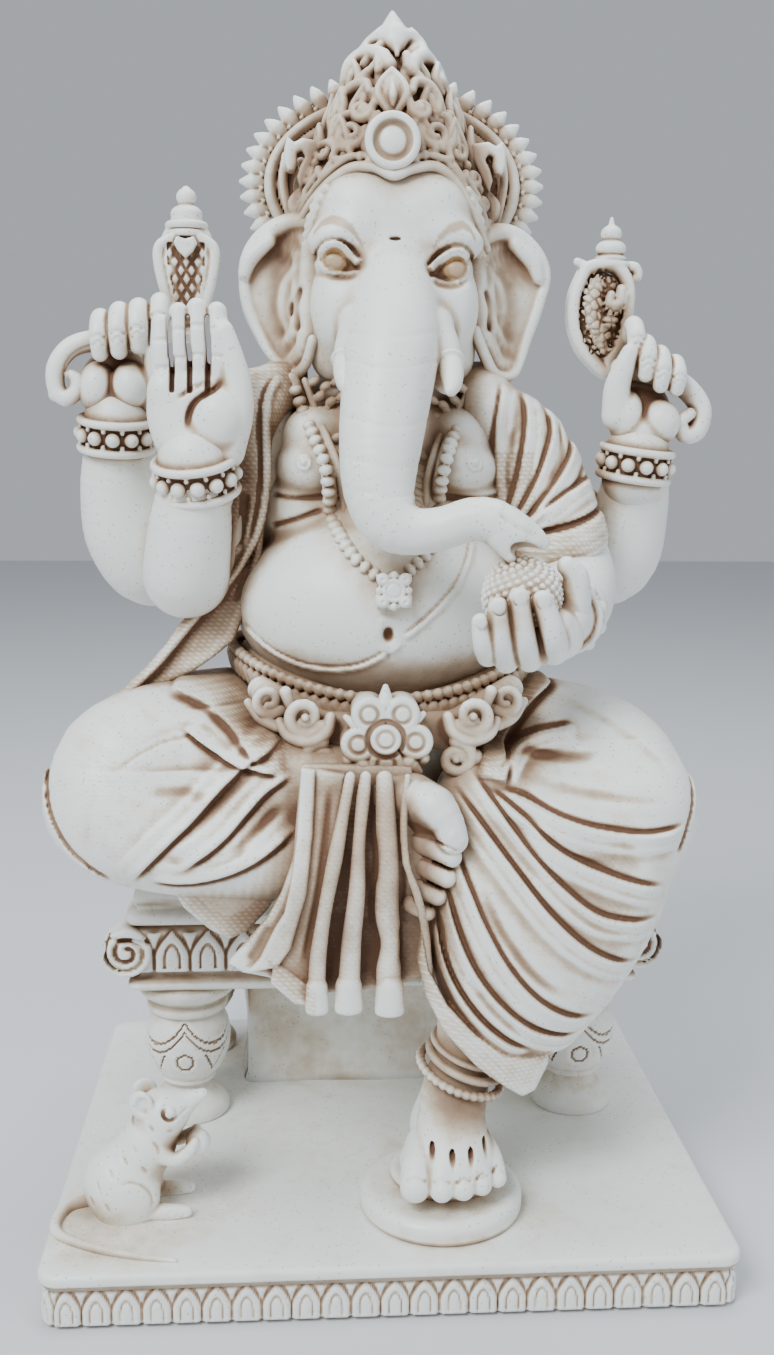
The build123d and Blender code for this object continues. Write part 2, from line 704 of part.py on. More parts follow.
with BuildPart() as halo_petals:
    with BuildSketch(halo_plane):
        Ellipse(*PETAL_RING_RADII)
        for i in range(-13, 14):
            angle = 90 + i * HALO_PETAL_TURN
            wide, tall = PETAL_RING_RADII
            with Locations((wide * cos_degrees(angle), tall * sin_degrees(angle))):
                Circle(HALO_PETAL_RADIUS)
        Ellipse(*HALO_RADII, mode=Mode.SUBTRACT)
        with Locations((0, -36)):
            Rectangle(96, 30, mode=Mode.SUBTRACT)
    extrude(amount=3, both=True)
    cut((head, crown_cap.part, crown_band.part))
save("halo_petals", halo_petals.part)

MEDALLION_RADIUS = 11
with BuildPart() as crown_medallion:
    with BuildSketch(Plane.XZ.offset(24)):
        with Locations((2, 399)):
            Circle(MEDALLION_RADIUS)
    extrude(amount=-18)
    cut((crown_cap.part, crown_band.part))
save("crown_medallion", crown_medallion.part)

# ---------------------------------------------------------------- shawls
right_shawl = limb(
    [(-46, 10, 316), (-51, -8, 292), (-50, -12, 268), (-60, 14, 232), (-76, 0, 208), (-96, -16, 202)],
    [8, 9, 8, 9, 8, 5],
    fits=(
        torso.part, right_front_arm, right_rear_arm, right_front_hand.part,
        bracelets, right_thigh, hips.part,
    ),
)
left_shawl = limb(
    [(44, 14, 312), (58, 8, 296), (67, 2, 272), (71, -4, 250)],
    [14, 19, 21, 21],
    fits=(torso.part, left_front_arm, left_rear_arm, left_thigh, trunk, sweet.part),
)
save("right_shawl", right_shawl)
save("left_shawl", left_shawl)

# ---------------------------------------------------------------- jewellery
NECKLACE = [
    (-24, -16, 302), (-22, -20, 290), (-20, -20, 278), (-17, -24, 266), (-12, -34, 256), (-5, -38, 249),
    (9, -38, 249), (14, -34, 256), (20, -26, 265), (26, -20, 276), (29, -20, 290), (29, -16, 302),
]
BEAD_RADIUS = 4
with BuildPart() as necklace:
    with Locations(*NECKLACE):
        Sphere(BEAD_RADIUS)
    cut((torso.part, trunk, left_shawl, right_shawl))
save("necklace", necklace.part)

with BuildPart() as necklace_pendant:
    with BuildSketch(Plane.XZ.offset(42)):
        with Locations((2, 241)):
            RectangleRounded(15, 17, 5)
    extrude(amount=-10)
    cut((torso.part, necklace.part))
save("necklace_pendant", necklace_pendant.part)

with BuildPart() as belt:
    with BuildSketch(Plane.XY.offset(BELT_Z)):
        with Locations((1, 10)):
            Ellipse(62, 45)
            Ellipse(54, 38, mode=Mode.SUBTRACT)
    extrude(amount=8)
    cut((torso.part, right_shawl, left_shawl, right_thigh, left_thigh))
save("belt", belt.part)

BUCKLE = (1, -50, 186)
BUCKLE_PETALS = 5
buckle_plane = Plane(origin=BUCKLE, x_dir=(1, 0, 0), z_dir=(0, -1, 0))
with BuildPart() as belt_buckle:
    with BuildSketch(buckle_plane):
        with PolarLocations(11, BUCKLE_PETALS, start_angle=18):
            Circle(8)
        Circle(9)  # fills the middle, so that the petals are one solid
    extrude(amount=-15)
save("belt_buckle", belt_buckle.part)

with BuildPart() as belt_scrolls:
    with BuildSketch(Plane(origin=(1, -42, 186), x_dir=(1, 0, 0), z_dir=(0, -1, 0))):
        with Locations((-27, 8), (-41, 14), (27, 8), (41, 14)):
            Circle(6.5)
    extrude(amount=-14)
    cut((belt.part,))
save("belt_scrolls", belt_scrolls.part)
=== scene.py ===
import math

import bpy
import numpy as np
import openvdb
from mathutils import Euler, Matrix, Vector


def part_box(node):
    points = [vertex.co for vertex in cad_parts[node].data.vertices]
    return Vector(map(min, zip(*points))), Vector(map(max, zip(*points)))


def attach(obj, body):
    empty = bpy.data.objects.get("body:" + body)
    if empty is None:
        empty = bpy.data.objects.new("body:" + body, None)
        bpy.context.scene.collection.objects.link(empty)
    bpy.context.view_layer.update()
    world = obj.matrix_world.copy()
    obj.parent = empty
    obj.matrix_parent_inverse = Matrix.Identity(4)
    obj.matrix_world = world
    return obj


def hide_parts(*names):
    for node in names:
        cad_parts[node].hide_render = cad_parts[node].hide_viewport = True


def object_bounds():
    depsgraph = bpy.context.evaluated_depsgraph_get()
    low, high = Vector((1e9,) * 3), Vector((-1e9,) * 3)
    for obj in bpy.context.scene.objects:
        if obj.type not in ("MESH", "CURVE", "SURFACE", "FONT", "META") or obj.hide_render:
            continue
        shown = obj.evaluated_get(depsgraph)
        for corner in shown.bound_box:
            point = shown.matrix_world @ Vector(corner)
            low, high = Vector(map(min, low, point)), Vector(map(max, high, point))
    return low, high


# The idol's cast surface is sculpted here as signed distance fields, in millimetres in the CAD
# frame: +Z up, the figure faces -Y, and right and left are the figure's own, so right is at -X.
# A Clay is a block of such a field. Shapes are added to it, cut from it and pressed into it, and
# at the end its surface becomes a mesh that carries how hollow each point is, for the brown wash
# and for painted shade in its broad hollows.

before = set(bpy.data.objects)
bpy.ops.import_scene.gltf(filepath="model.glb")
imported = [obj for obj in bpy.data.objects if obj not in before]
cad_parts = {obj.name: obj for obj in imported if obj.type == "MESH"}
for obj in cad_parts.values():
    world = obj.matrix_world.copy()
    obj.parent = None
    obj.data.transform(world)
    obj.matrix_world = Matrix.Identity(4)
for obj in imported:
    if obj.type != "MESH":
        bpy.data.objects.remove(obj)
cad_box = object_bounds()

MM = 0.001
STEP = 0.8  # spacing of the sculpting grid
BAND = 6.0  # depth of field kept on each side of a surface
FAR = 60.0  # a field's value where there is no clay near
GOLDEN_ANGLE = 2.39996  # spreads points evenly over a ball


# ---------------------------------------------------------------- the clay
def box_mm(node):
    """A CAD node's lowest and highest corners, in millimetres."""
    low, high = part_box(node)
    return np.array(low) / MM, np.array(high) / MM


def smooth_min(a, b, blend):
    """The lower of two fields, with the valley between them filled over the blend distance."""
    if blend <= 0:
        return np.minimum(a, b)
    share = np.maximum(blend - np.abs(a - b), 0) / blend
    return np.minimum(a, b) - share * share * blend * 0.25


def smooth_curve(points, spacing=2.0):
    """Points along a Catmull-Rom curve through rows of coordinates, other columns carried along."""
    rows = np.array(points, float)
    if len(rows) < 3:
        count = max(int(np.linalg.norm(rows[-1, :3] - rows[0, :3]) / spacing), 1) + 1
        return rows[0] + (rows[-1] - rows[0]) * np.linspace(0, 1, count)[:, None]
    ends = np.vstack([2 * rows[0] - rows[1], rows, 2 * rows[-1] - rows[-2]])
    made = []
    for a, b, c, d in zip(ends, ends[1:], ends[2:], ends[3:]):
        count = max(int(np.linalg.norm(c[:3] - b[:3]) / spacing), 1)
        t = (np.arange(count) / count)[:, None]
        made.append(0.5 * (2 * b + (c - a) * t + (2 * a - 5 * b + 4 * c - d) * t**2
                           + (3 * b - a - 3 * c + d) * t**3))
    return np.vstack(made + [rows[-1:]])


def blurred(field, reach):
    """The field averaged over a cube that reaches this many cells each way."""
    for axis in range(3):
        padded = np.pad(field, [(reach + 1, reach) if i == axis else (0, 0) for i in range(3)], "edge")
        total = np.cumsum(padded, axis=axis, dtype=np.float64)
        width = 2 * reach + 1
        high = np.take(total, range(width, total.shape[axis]), axis=axis)
        low = np.take(total, range(0, total.shape[axis] - width), axis=axis)
        field = ((high - low) / width).astype(np.float32)
    return field


class Clay:
    """A block of sculpting clay between two corners."""

    def __init__(self, low, high, step=STEP):
        self.step = step
        self.low = np.array(low, float)
        count = np.ceil((np.array(high) - self.low) / step).astype(int) + 1
        self.axes = [(self.low[i] + step * np.arange(count[i])).astype(np.float32) for i in range(3)]
        self.field = np.full(tuple(count), FAR, np.float32)

    def window(self, low, high, margin=BAND):
        """The cells round a region, and their X, Y and Z, ready to combine."""
        cells = []
        for i in range(3):
            first = int((low[i] - margin - self.low[i]) / self.step)
            last = int((high[i] + margin - self.low[i]) / self.step) + 2
            count = len(self.axes[i])
            cells.append(slice(min(max(first, 0), count - 1), min(max(last, 1), count)))
        x, y, z = (self.axes[i][cells[i]] for i in range(3))
        return tuple(cells), x[:, None, None], y[None, :, None], z[None, None, :]

    def merge(self, cells, distance, blend, cut):
        """Adds a shape's field to the clay, or cuts it from the clay."""
        if cut:
            self.field[cells] = -smooth_min(-self.field[cells], distance, blend)
        else:
            self.field[cells] = smooth_min(self.field[cells], distance, blend)

    def ball(self, centre, radii, turn=(0, 0, 0), blend=2.0, cut=False):
        """An ellipsoid, turned by degrees about X, Y and Z."""
        centre = np.array(centre, float)
        radii = np.array(radii if np.ndim(radii) else (radii,) * 3, float)
        spin = np.array(Euler([math.radians(a) for a in turn]).to_matrix())
        reach = np.sqrt(((spin * radii) ** 2).sum(1))
        cells, x, y, z = self.window(centre - reach, centre + reach)
        x, y, z = x - centre[0], y - centre[1], z - centre[2]
        near = far = 0
        for i in range(3):
            along = x * spin[0, i] + y * spin[1, i] + z * spin[2, i]
            near = near + (along / radii[i]) ** 2
            far = far + (along / radii[i] ** 2) ** 2
        near = np.sqrt(near)
        self.merge(cells, near * (near - 1) / np.sqrt(far + 1e-9), blend, cut)

    def tube(self, points, blend=2.0, cut=False, flat=1.0, face=(0, 1, 0), spacing=None):
        """A limb through (x, y, z, radius) points, thinned by flat in the direction face."""
        radii = [p[3] for p in points]
        rows = smooth_curve(points, spacing or max(1.2, 0.5 * min(radii)))
        reach = max(radii)
        face = np.array(face, float) / np.linalg.norm(face)
        cells, x, y, z = self.window(rows[:, :3].min(0) - reach, rows[:, :3].max(0) + reach)
        distance = np.full(np.broadcast_shapes(x.shape, y.shape, z.shape), FAR, np.float32)
        origin = np.array([x.flat[0], y.flat[0], z.flat[0]])
        for a, b in zip(rows, rows[1:]):
            low = np.minimum(a[:3], b[:3]) - max(a[3], b[3]) - BAND
            high = np.maximum(a[:3], b[:3]) + max(a[3], b[3]) + BAND
            part = []
            for i in range(3):
                count = distance.shape[i]
                first = min(max(int((low[i] - origin[i]) / self.step), 0), count)
                last = min(max(int((high[i] - origin[i]) / self.step) + 2, 0), count)
                part.append(slice(first, last))
            part = tuple(part)
            px, py, pz = x[part[0]] - a[0], y[:, part[1]] - a[1], z[:, :, part[2]] - a[2]
            run = b[:3] - a[:3]
            length = float(run @ run) + 1e-9
            t = np.clip((px * run[0] + py * run[1] + pz * run[2]) / length, 0, 1)
            px, py, pz = px - t * run[0], py - t * run[1], pz - t * run[2]
            squared = px * px + py * py + pz * pz
            if flat != 1.0:
                through = px * face[0] + py * face[1] + pz * face[2]
                squared = squared + through * through * (1 / flat**2 - 1)
            there = np.sqrt(squared) - (a[3] + t * (b[3] - a[3]))
            if flat != 1.0:
                there = there * (0.5 + 0.5 * flat)
            distance[part] = np.minimum(distance[part], there)
        self.merge(cells, distance, blend, cut)

    def block(self, low, high, rounding=1.0, blend=0.0, cut=False):
        """A box with rounded edges."""
        low, high = np.array(low, float), np.array(high, float)
        cells, x, y, z = self.window(low, high)
        middle, half = (low + high) / 2, (high - low) / 2 - rounding
        qx, qy, qz = (np.abs(v - middle[i]) - half[i] for i, v in enumerate((x, y, z)))
        outside = np.sqrt(np.maximum(qx, 0) ** 2 + np.maximum(qy, 0) ** 2 + np.maximum(qz, 0) ** 2)
        inside = np.minimum(np.maximum(np.maximum(qx, qy), qz), 0)
        self.merge(cells, outside + inside - rounding, blend, cut)

    def hoop(self, centre, axis, radius, thick, blend=1.0, cut=False, oval=1.0):
        """A ring of round section."""
        points = []
        spin = Vector(axis).to_track_quat("Z", "Y")
        for i in range(33):
            turn = 2 * math.pi * i / 32
            spot = spin @ Vector((radius * math.cos(turn), radius * oval * math.sin(turn), 0))
            points.append((*(Vector(centre) + spot), thick))
        self.tube(points, blend, cut, spacing=2 * math.pi * radius / 32)

    def keep(self, axis, limit, above=True):
        """Slices off everything on one side of a plane."""
        shape = [1, 1, 1]
        shape[axis] = -1
        away = (self.axes[axis] - limit).reshape(shape)
        self.field = np.maximum(self.field, -away if above else away)

    def beside(self, rows, x, z):
        """How far each (x, z) is from a line, positive on its left, and the share of the way along it."""
        nearest = np.full((x.shape[0], 1, z.shape[2]), 1e6, np.float32)
        side, share = np.ones_like(nearest), np.zeros_like(nearest)
        for i, (a, b) in enumerate(zip(rows, rows[1:])):
            run = b - a
            length = run[0] ** 2 + run[2] ** 2 + 1e-9
            t = np.clip(((x - a[0]) * run[0] + (z - a[2]) * run[2]) / length, 0, 1)
            away = (x - a[0] - t * run[0]) ** 2 + (z - a[2] - t * run[2]) ** 2
            closer = away < nearest
            nearest = np.where(closer, away, nearest)
            side = np.where(closer, np.sign(run[0] * (z - a[2]) - run[2] * (x - a[0])), side)
            share = np.where(closer, (i + t) / (len(rows) - 1), share)
        return np.sqrt(nearest) * side, share

    def line_window(self, points, width, near, deep):
        """A line drawn on the front at (x, z) points, and the cells it can reach, from Y = near back."""
        rows = smooth_curve([(p[0], 0, p[1]) for p in points], 1.5)
        near = self.low[1] if near is None else near
        low = (rows[:, 0].min() - width, near, rows[:, 2].min() - width)
        high = (rows[:, 0].max() + width, near + deep, rows[:, 2].max() + width)
        return (rows,) + self.window(low, high, 0)

    def stroke(self, points, width, height, near=None, deep=30.0, sharp=False, fade=0.0):
        """A raised or sunk line pressed on the front, its ends faded out over a share of its length."""
        rows, cells, x, y, z = self.line_window(points, width, near, deep)
        away, along = self.beside(rows, x, z)
        share = np.clip(1 - (away / width) ** 2, 0, 1)
        share = between(share, 0, 0.6) if sharp else share * share
        if fade:
            share = share * between(along, 0, fade) * between(1 - along, 0, fade)
        self.field[cells] -= height * share

    def lap(self, points, width, height, near=None, deep=30.0, drop=1.3, fade=0.14):
        """A fold of cloth: it drops sharply on the line's left and sinks back slowly on its right."""
        rows, cells, x, y, z = self.line_window(points, width, near, deep)
        away, along = self.beside(rows, x, z)
        slow = np.clip(1 + away / width, 0, 1) ** 1.6
        groove = 0.36 * np.exp(-((away - drop) ** 2))
        second_ridge = 0.2 * np.exp(-(((away + 0.6 * width) / (0.13 * width)) ** 2))
        shape = np.where(away > 0, between(drop - away, 0, drop), slow) - groove + second_ridge
        self.field[cells] -= height * shape * between(along, 0, fade) * between(1 - along, 0, fade)

    def sheet(self, outline, front, thick, rounding=0.8, blend=0.5, cut=False):
        """A plate cut to an (x, z) outline, its front at Y = front(x, z), with rounded edges."""
        rows = np.array(outline, float)
        face = front(rows[:, 0], rows[:, 1]) if callable(front) else np.full(len(rows), front)
        low = (rows[:, 0].min(), np.min(face) - 4, rows[:, 1].min())
        high = (rows[:, 0].max(), np.max(face) + thick + 4, rows[:, 1].max())
        cells, x, y, z = self.window(low, high)
        nearest = np.full((x.shape[0], 1, z.shape[2]), 1e6, np.float32)
        inside = np.zeros(nearest.shape, bool)
        for a, b in zip(rows, np.roll(rows, -1, 0)):
            run, px, pz = b - a, x - a[0], z - a[1]
            t = np.clip((px * run[0] + pz * run[1]) / (run @ run + 1e-9), 0, 1)
            nearest = np.minimum(nearest, (px - t * run[0]) ** 2 + (pz - t * run[1]) ** 2)
            reached = a[0] + pz * run[0] / (run[1] if abs(run[1]) > 1e-9 else 1e-9)
            inside ^= ((a[1] <= z) != (b[1] <= z)) & (x < reached)
        edge = np.sqrt(nearest) * np.where(inside, -1, 1) + rounding
        face = front(x, z) if callable(front) else front
        through = np.abs(y - (face + thick / 2)) - thick / 2 + rounding
        distance = (np.minimum(np.maximum(edge, through), 0) - rounding
                    + np.sqrt(np.maximum(edge, 0) ** 2 + np.maximum(through, 0) ** 2))
        self.merge(cells, distance, blend, cut)

    def disc(self, centre, radius, thick, rounding=1.0, blend=0.5, cut=False):
        """A round plate facing the front, its face at the centre's Y."""
        x, face, z = centre
        turns = np.linspace(0, 2 * math.pi, 28, endpoint=False)
        outline = [(x + radius * math.cos(a), z + radius * math.sin(a)) for a in turns]
        self.sheet(outline, face, thick, rounding, blend, cut)

    def press(self, low, high, height):
        """Moves the surface out by height(x, y, z) within a region."""
        cells, x, y, z = self.window(low, high, 0)
        self.field[cells] -= height(x, y, z)

    def at(self, grid, points):
        """A grid's values at points, by trilinear interpolation."""
        spots = (points - self.low) / self.step
        top = np.array(grid.shape) - 2
        base = np.clip(np.floor(spots).astype(int), 0, top)
        share = np.clip(spots - base, 0, 1)
        value = 0
        for dx in (0, 1):
            for dy in (0, 1):
                for dz in (0, 1):
                    weight = (np.abs(1 - dx - share[:, 0]) * np.abs(1 - dy - share[:, 1])
                              * np.abs(1 - dz - share[:, 2]))
                    value = value + weight * grid[base[:, 0] + dx, base[:, 1] + dy, base[:, 2] + dz]
        return value

    def surface(self):
        """The clay's surface: points, faces of 3 or 4 corners, and how hollow each point is."""
        field = np.clip(self.field, -BAND, BAND).astype(np.float32)
        for i in range(3):  # the clay ends inside its block
            edge = [slice(None)] * 3
            for end in (0, -1):
                edge[i] = end
                field[tuple(edge)] = np.maximum(field[tuple(edge)], self.step)
        grid = openvdb.FloatGrid(BAND)
        grid.copyFromArray(field)
        spots, quads = grid.convertToPolygons(isovalue=0.0, adaptivity=0.0)[::2]
        points = self.low + spots * self.step
        fine, wide, broad = (max(int(round(reach / self.step)), least)
                             for reach, least in ((1.3, 1), (3.6, 2), (7.5, 4)))
        hollow = (field - blurred(field, fine)) * 0.9 + (field - blurred(field, wide)) * 0.5
        # valley: the broad hollows, which the materials darken as painted shade as well as wash
        valley = np.maximum(field - blurred(field, broad), 0)
        return points, quads, self.at(hollow, points), self.at(valley, points)


# ---------------------------------------------------------------- from clay to pieces
pieces = []


def mesh_piece(name, points, faces, nodes, material):
    """A mesh object in the shared frame from points in millimetres, standing for CAD nodes."""
    mesh = bpy.data.meshes.new(name)
    faces = np.asarray(faces)
    corners = faces.shape[1]
    mesh.vertices.add(len(points))
    mesh.vertices.foreach_set("co", (np.asarray(points) * MM).astype(np.float32).ravel())
    mesh.loops.add(faces.size)
    mesh.loops.foreach_set("vertex_index", faces.astype(np.int32).ravel())
    mesh.polygons.add(len(faces))
    mesh.polygons.foreach_set("loop_start", np.arange(0, faces.size, corners, dtype=np.int32))
    mesh.polygons.foreach_set("use_smooth", np.ones(len(faces), bool))
    mesh.update(calc_edges=True)
    mesh.validate()
    piece = bpy.data.objects.new(name, mesh)
    bpy.context.scene.collection.objects.link(piece)
    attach(piece, "root")
    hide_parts(*nodes)
    mesh.materials.append(material)
    pieces.append(piece)
    return piece


def number(piece, name, values):
    """Stores one number for each point of a piece, which the materials read."""
    layer = piece.data.attributes.new(name, "FLOAT", "POINT")
    layer.data.foreach_set("value", np.asarray(values, np.float32))


def vertex_vectors(piece, table, key):
    """One X, Y, Z row for each point of a piece, from a table of its mesh."""
    values = np.empty(len(piece.data.vertices) * 3, np.float32)
    getattr(piece.data, table).foreach_get(key, values)
    return values.reshape(-1, 3)


def cast(clay, material, *nodes, name=None, weave=None):
    """Turns clay into a piece. weave(x, y, z) is 1 where the surface is cloth."""
    points, faces, hollow, valley = clay.surface()
    piece = mesh_piece(name or nodes[0] + "_cast", points, faces, nodes, material)
    number(piece, "hollow", hollow)
    number(piece, "valley", valley)
    number(piece, "cloth", weave(*points.T) if weave else np.zeros(len(points)))
    return piece


def between(value, low, high):
    """0 below low, 1 above high and a smooth step between."""
    t = np.clip((value - low) / (high - low), 0, 1)
    return t * t * (3 - 2 * t)


# ---------------------------------------------------------------- materials
def shade_network(material):
    """A material's node tree, its surface shader and a short way to add and join nodes."""
    material.use_nodes = True
    tree = material.node_tree
    shader = tree.nodes["Principled BSDF"]

    def add(kind, *links, **values):
        node = tree.nodes.new("ShaderNode" + kind)
        for key, value in values.items():
            if hasattr(node, key):
                setattr(node, key, value)
        for socket, source in links:
            if isinstance(source, bpy.types.NodeSocket):
                tree.links.new(source, node.inputs[socket])
            else:
                node.inputs[socket].default_value = source
        return node.outputs[0]

    return tree, shader, add


def colour_ramp(tree, level, stops):
    """A level from 0 to 1 turned into a colour through (level, colour) stops."""
    ramp = tree.nodes.new("ShaderNodeValToRGB")
    tree.links.new(level, ramp.inputs[0])
    for i, (spot, colour) in enumerate(stops):
        stop = ramp.color_ramp.elements[i] if i < 2 else ramp.color_ramp.elements.new(spot)
        stop.position = spot
        stop.color = (*colour, 1)
    return ramp.outputs[0]


def cast_material(name, wash_and_shade=1.0, gloss=0.0, tint_and_shade=0.0):
    """Ivory cast marble dust: a brown wash left in the hollows, painted shade in broad valleys and shut-in
    places, specks, and a fine sanded grain.
    """
    material = bpy.data.materials.new(name)
    tree, shader, add = shade_network(material)
    place = tree.nodes.new("ShaderNodeTexCoord").outputs["Object"]

    def math_node(kind, a, b=0.0, clamp=False):
        return add("Math", (0, a), (1, b), operation=kind, use_clamp=clamp)

    def noise(scale, detail=3.0, rough=0.6):
        return add("TexNoise", ("Vector", place), ("Scale", scale), ("Detail", detail),
                   ("Roughness", rough))

    def reading(attribute):
        node = tree.nodes.new("ShaderNodeAttribute")
        node.attribute_name = attribute
        return node.outputs["Fac"]

    def scaled(value, share, zero=0.0):
        """The value's distance from zero, times a share."""
        return math_node("MULTIPLY", math_node("SUBTRACT", value, zero) if zero else value, share)

    def mixed(share, first, second):
        """A share of the second colour over the first. A Mix node's colours are inputs 6 and 7, output 2."""
        add("Mix", ("Factor", share), data_type="RGBA")
        mix = tree.nodes[-1]
        tree.links.new(first, mix.inputs[6])
        mix.inputs[7].default_value = (*second, 1)
        return mix.outputs[2]

    hollow, valley, deep, cloth = (reading(word) for word in ("hollow", "valley", "deep", "cloth"))
    patchy = noise(55.0)
    smear = noise(170.0, 4.0)
    weave_x = add("TexWave", ("Vector", place), ("Scale", 240.0), bands_direction="DIAGONAL")
    weave_z = add("TexWave", ("Vector", place), ("Scale", 200.0), bands_direction="Z")
    weave = math_node("MULTIPLY", math_node("MULTIPLY", weave_x, weave_z), cloth)

    # the wash and painted shade: from nothing, through tan, to dark brown in the deepest hollows;
    # the valley and deep numbers add painted shade in broad hollows and where other pieces shut a point in
    level = scaled(math_node("MAXIMUM", hollow, -0.16), 0.55 * wash_and_shade)
    for part in (scaled(valley, 0.26 * wash_and_shade), scaled(deep, 0.34 * wash_and_shade), scaled(patchy, 0.22, 0.5),
                 scaled(smear, 0.3, 0.5), scaled(math_node("SUBTRACT", cloth, weave), 0.2)):
        level = math_node("ADD", level, part)
    # an even darkening: a tan tint for cloth, and painted shade on the pieces that lie in shade
    level = math_node("ADD", level, tint_and_shade, clamp=True)
    wash_shade_colour = colour_ramp(tree, level, (
        (0.0, (0.87, 0.885, 0.85)), (0.1, (0.80, 0.77, 0.69)), (0.26, (0.60, 0.50, 0.38)),
        (0.52, (0.34, 0.225, 0.14)), (0.9, (0.13, 0.06, 0.028))))

    specks = add("TexVoronoi", ("Vector", place), ("Scale", 420.0))
    few = math_node("LESS_THAN", noise(38.0), 0.52)
    dots = math_node("MULTIPLY", math_node("LESS_THAN", specks, 0.16), few)
    specked = mixed(scaled(dots, 0.42), wash_shade_colour, (0.25, 0.15, 0.09))
    painted = mixed(reading("paint"), specked, (0.43, 0.26, 0.11))
    tree.links.new(painted, shader.inputs["Base Color"])

    rough = math_node("ADD", scaled(level, 0.35), 0.42 - gloss)
    rough = math_node("ADD", rough, scaled(smear, 0.18, 0.5))
    tree.links.new(rough, shader.inputs["Roughness"])
    shader.inputs["Subsurface Weight"].default_value = 0.06
    shader.inputs["Subsurface Radius"].default_value = (0.004, 0.003, 0.002)

    height = math_node("ADD", scaled(noise(900.0, 5.0, 0.7), 0.25), scaled(noise(260.0), 0.5))
    height = math_node("ADD", height, scaled(weave, 1.4))
    bump = add("Bump", ("Height", height), ("Strength", 0.22), ("Distance", 0.0006))
    tree.links.new(bump, shader.inputs["Normal"])
    return material


ivory = cast_material("ivory_with_painted_shade")
polished = cast_material("ivory_polished", wash_and_shade=0.8, gloss=0.05)
ornate = cast_material("ivory_ornate", wash_and_shade=1.7)
draped = cast_material("ivory_draped", wash_and_shade=1.4, tint_and_shade=0.05)
netted = cast_material("ivory_netted", wash_and_shade=1.4, tint_and_shade=0.12)
# painted shade: the hips and the stool's core lie in shade, so this ivory is darkened all over
shade_darkened = cast_material("ivory_darkened_for_shade", wash_and_shade=1.5, tint_and_shade=0.13)


# ---------------------------------------------------------------- swept and turned pieces
def rectangle_outline(node, corner, spacing=0.9):
    """A rounded rectangle round a node's box: x, y, normal x, normal y, distance from each side's middle."""
    low, high = box_mm(node)
    middle, half = (low + high)[:2] / 2, (high - low)[:2] / 2 - corner
    rows = []
    for quarter in range(4):
        along, out = half[quarter % 2], half[(quarter + 1) % 2]
        turn = math.radians(90 * quarter)
        reach = along + corner * math.pi / 4
        for u in np.arange(-reach, reach, 2 * reach / round(2 * reach / spacing)):
            bend = max(abs(u) - along, 0) / corner * math.copysign(1, u)
            x = min(max(u, -along), along) + corner * math.sin(bend)
            y = -out - corner * math.cos(bend)
            nx, ny = math.sin(bend), -math.cos(bend)
            rows.append((middle[0] + x * math.cos(turn) - y * math.sin(turn),
                         middle[1] + x * math.sin(turn) + y * math.cos(turn),
                         nx * math.cos(turn) - ny * math.sin(turn),
                         nx * math.sin(turn) + ny * math.cos(turn), u))
    return np.array(rows)


def round_outline(x, y, radius_x, radius_y, count):
    """An oval outline, as above, with distance measured round from the front."""
    rows = []
    for i in range(count):
        turn = 2 * math.pi * i / count
        rows.append((x + radius_x * math.sin(turn), y - radius_y * math.cos(turn),
                     math.sin(turn), -math.cos(turn), (turn if turn < math.pi else turn - 2 * math.pi)))
    return np.array(rows)


def swept(nodes, material, outline, profile, relief=None, spacing=0.9):
    """A wall swept round an outline through (outset, z) points, pressed out by relief(u, z), and closed."""
    rows = np.array(profile, float)
    made = [rows[0]]
    for a, b in zip(rows, rows[1:]):
        count = max(int(np.linalg.norm(b - a) / spacing), 1)
        made += [a + (b - a) * (i + 1) / count for i in range(count)]
    rows = np.array(made)
    u = outline[:, 4][None, :]
    out = np.repeat(rows[:, :1], len(outline), 1)
    raised = relief(u, rows[:, 1:2] + 0 * u) if relief else np.zeros_like(out)
    out = out + raised
    grid = np.stack([outline[None, :, 0] + out * outline[None, :, 2],
                     outline[None, :, 1] + out * outline[None, :, 3],
                     rows[:, 1:2] + 0 * u], axis=2)
    middle = np.array([outline[:, 0].mean(), outline[:, 1].mean()])
    caps = []
    for row, shares in ((grid[0], (0.002, 0.5, 0.9)), (grid[-1], (0.9, 0.5, 0.002))):
        for share in shares:
            ring = row.copy()
            ring[:, :2] = middle + (row[:, :2] - middle) * share
            caps.append(ring)
    grid = np.stack(caps[:3] + list(grid) + caps[3:])
    high, wide = grid.shape[:2]
    index = np.arange(high * wide).reshape(high, wide)
    after = np.roll(index, -1, 1)
    faces = np.stack([index[:-1], after[:-1], after[1:], index[1:]], axis=2).reshape(-1, 4)
    soft = raised.copy()
    for _ in range(3):
        padded = np.pad(soft, ((1, 1), (0, 0)), "edge")
        soft = (padded[:-2] + padded[2:] + np.roll(soft, 1, 1) + np.roll(soft, -1, 1) + soft) / 5
    hollow = np.zeros((high, wide))
    hollow[3:-3] = (soft - raised) * 2.6
    piece = mesh_piece(nodes[0] + "_cast", grid.reshape(-1, 3), faces, nodes, material)
    number(piece, "hollow", hollow.ravel())
    return piece


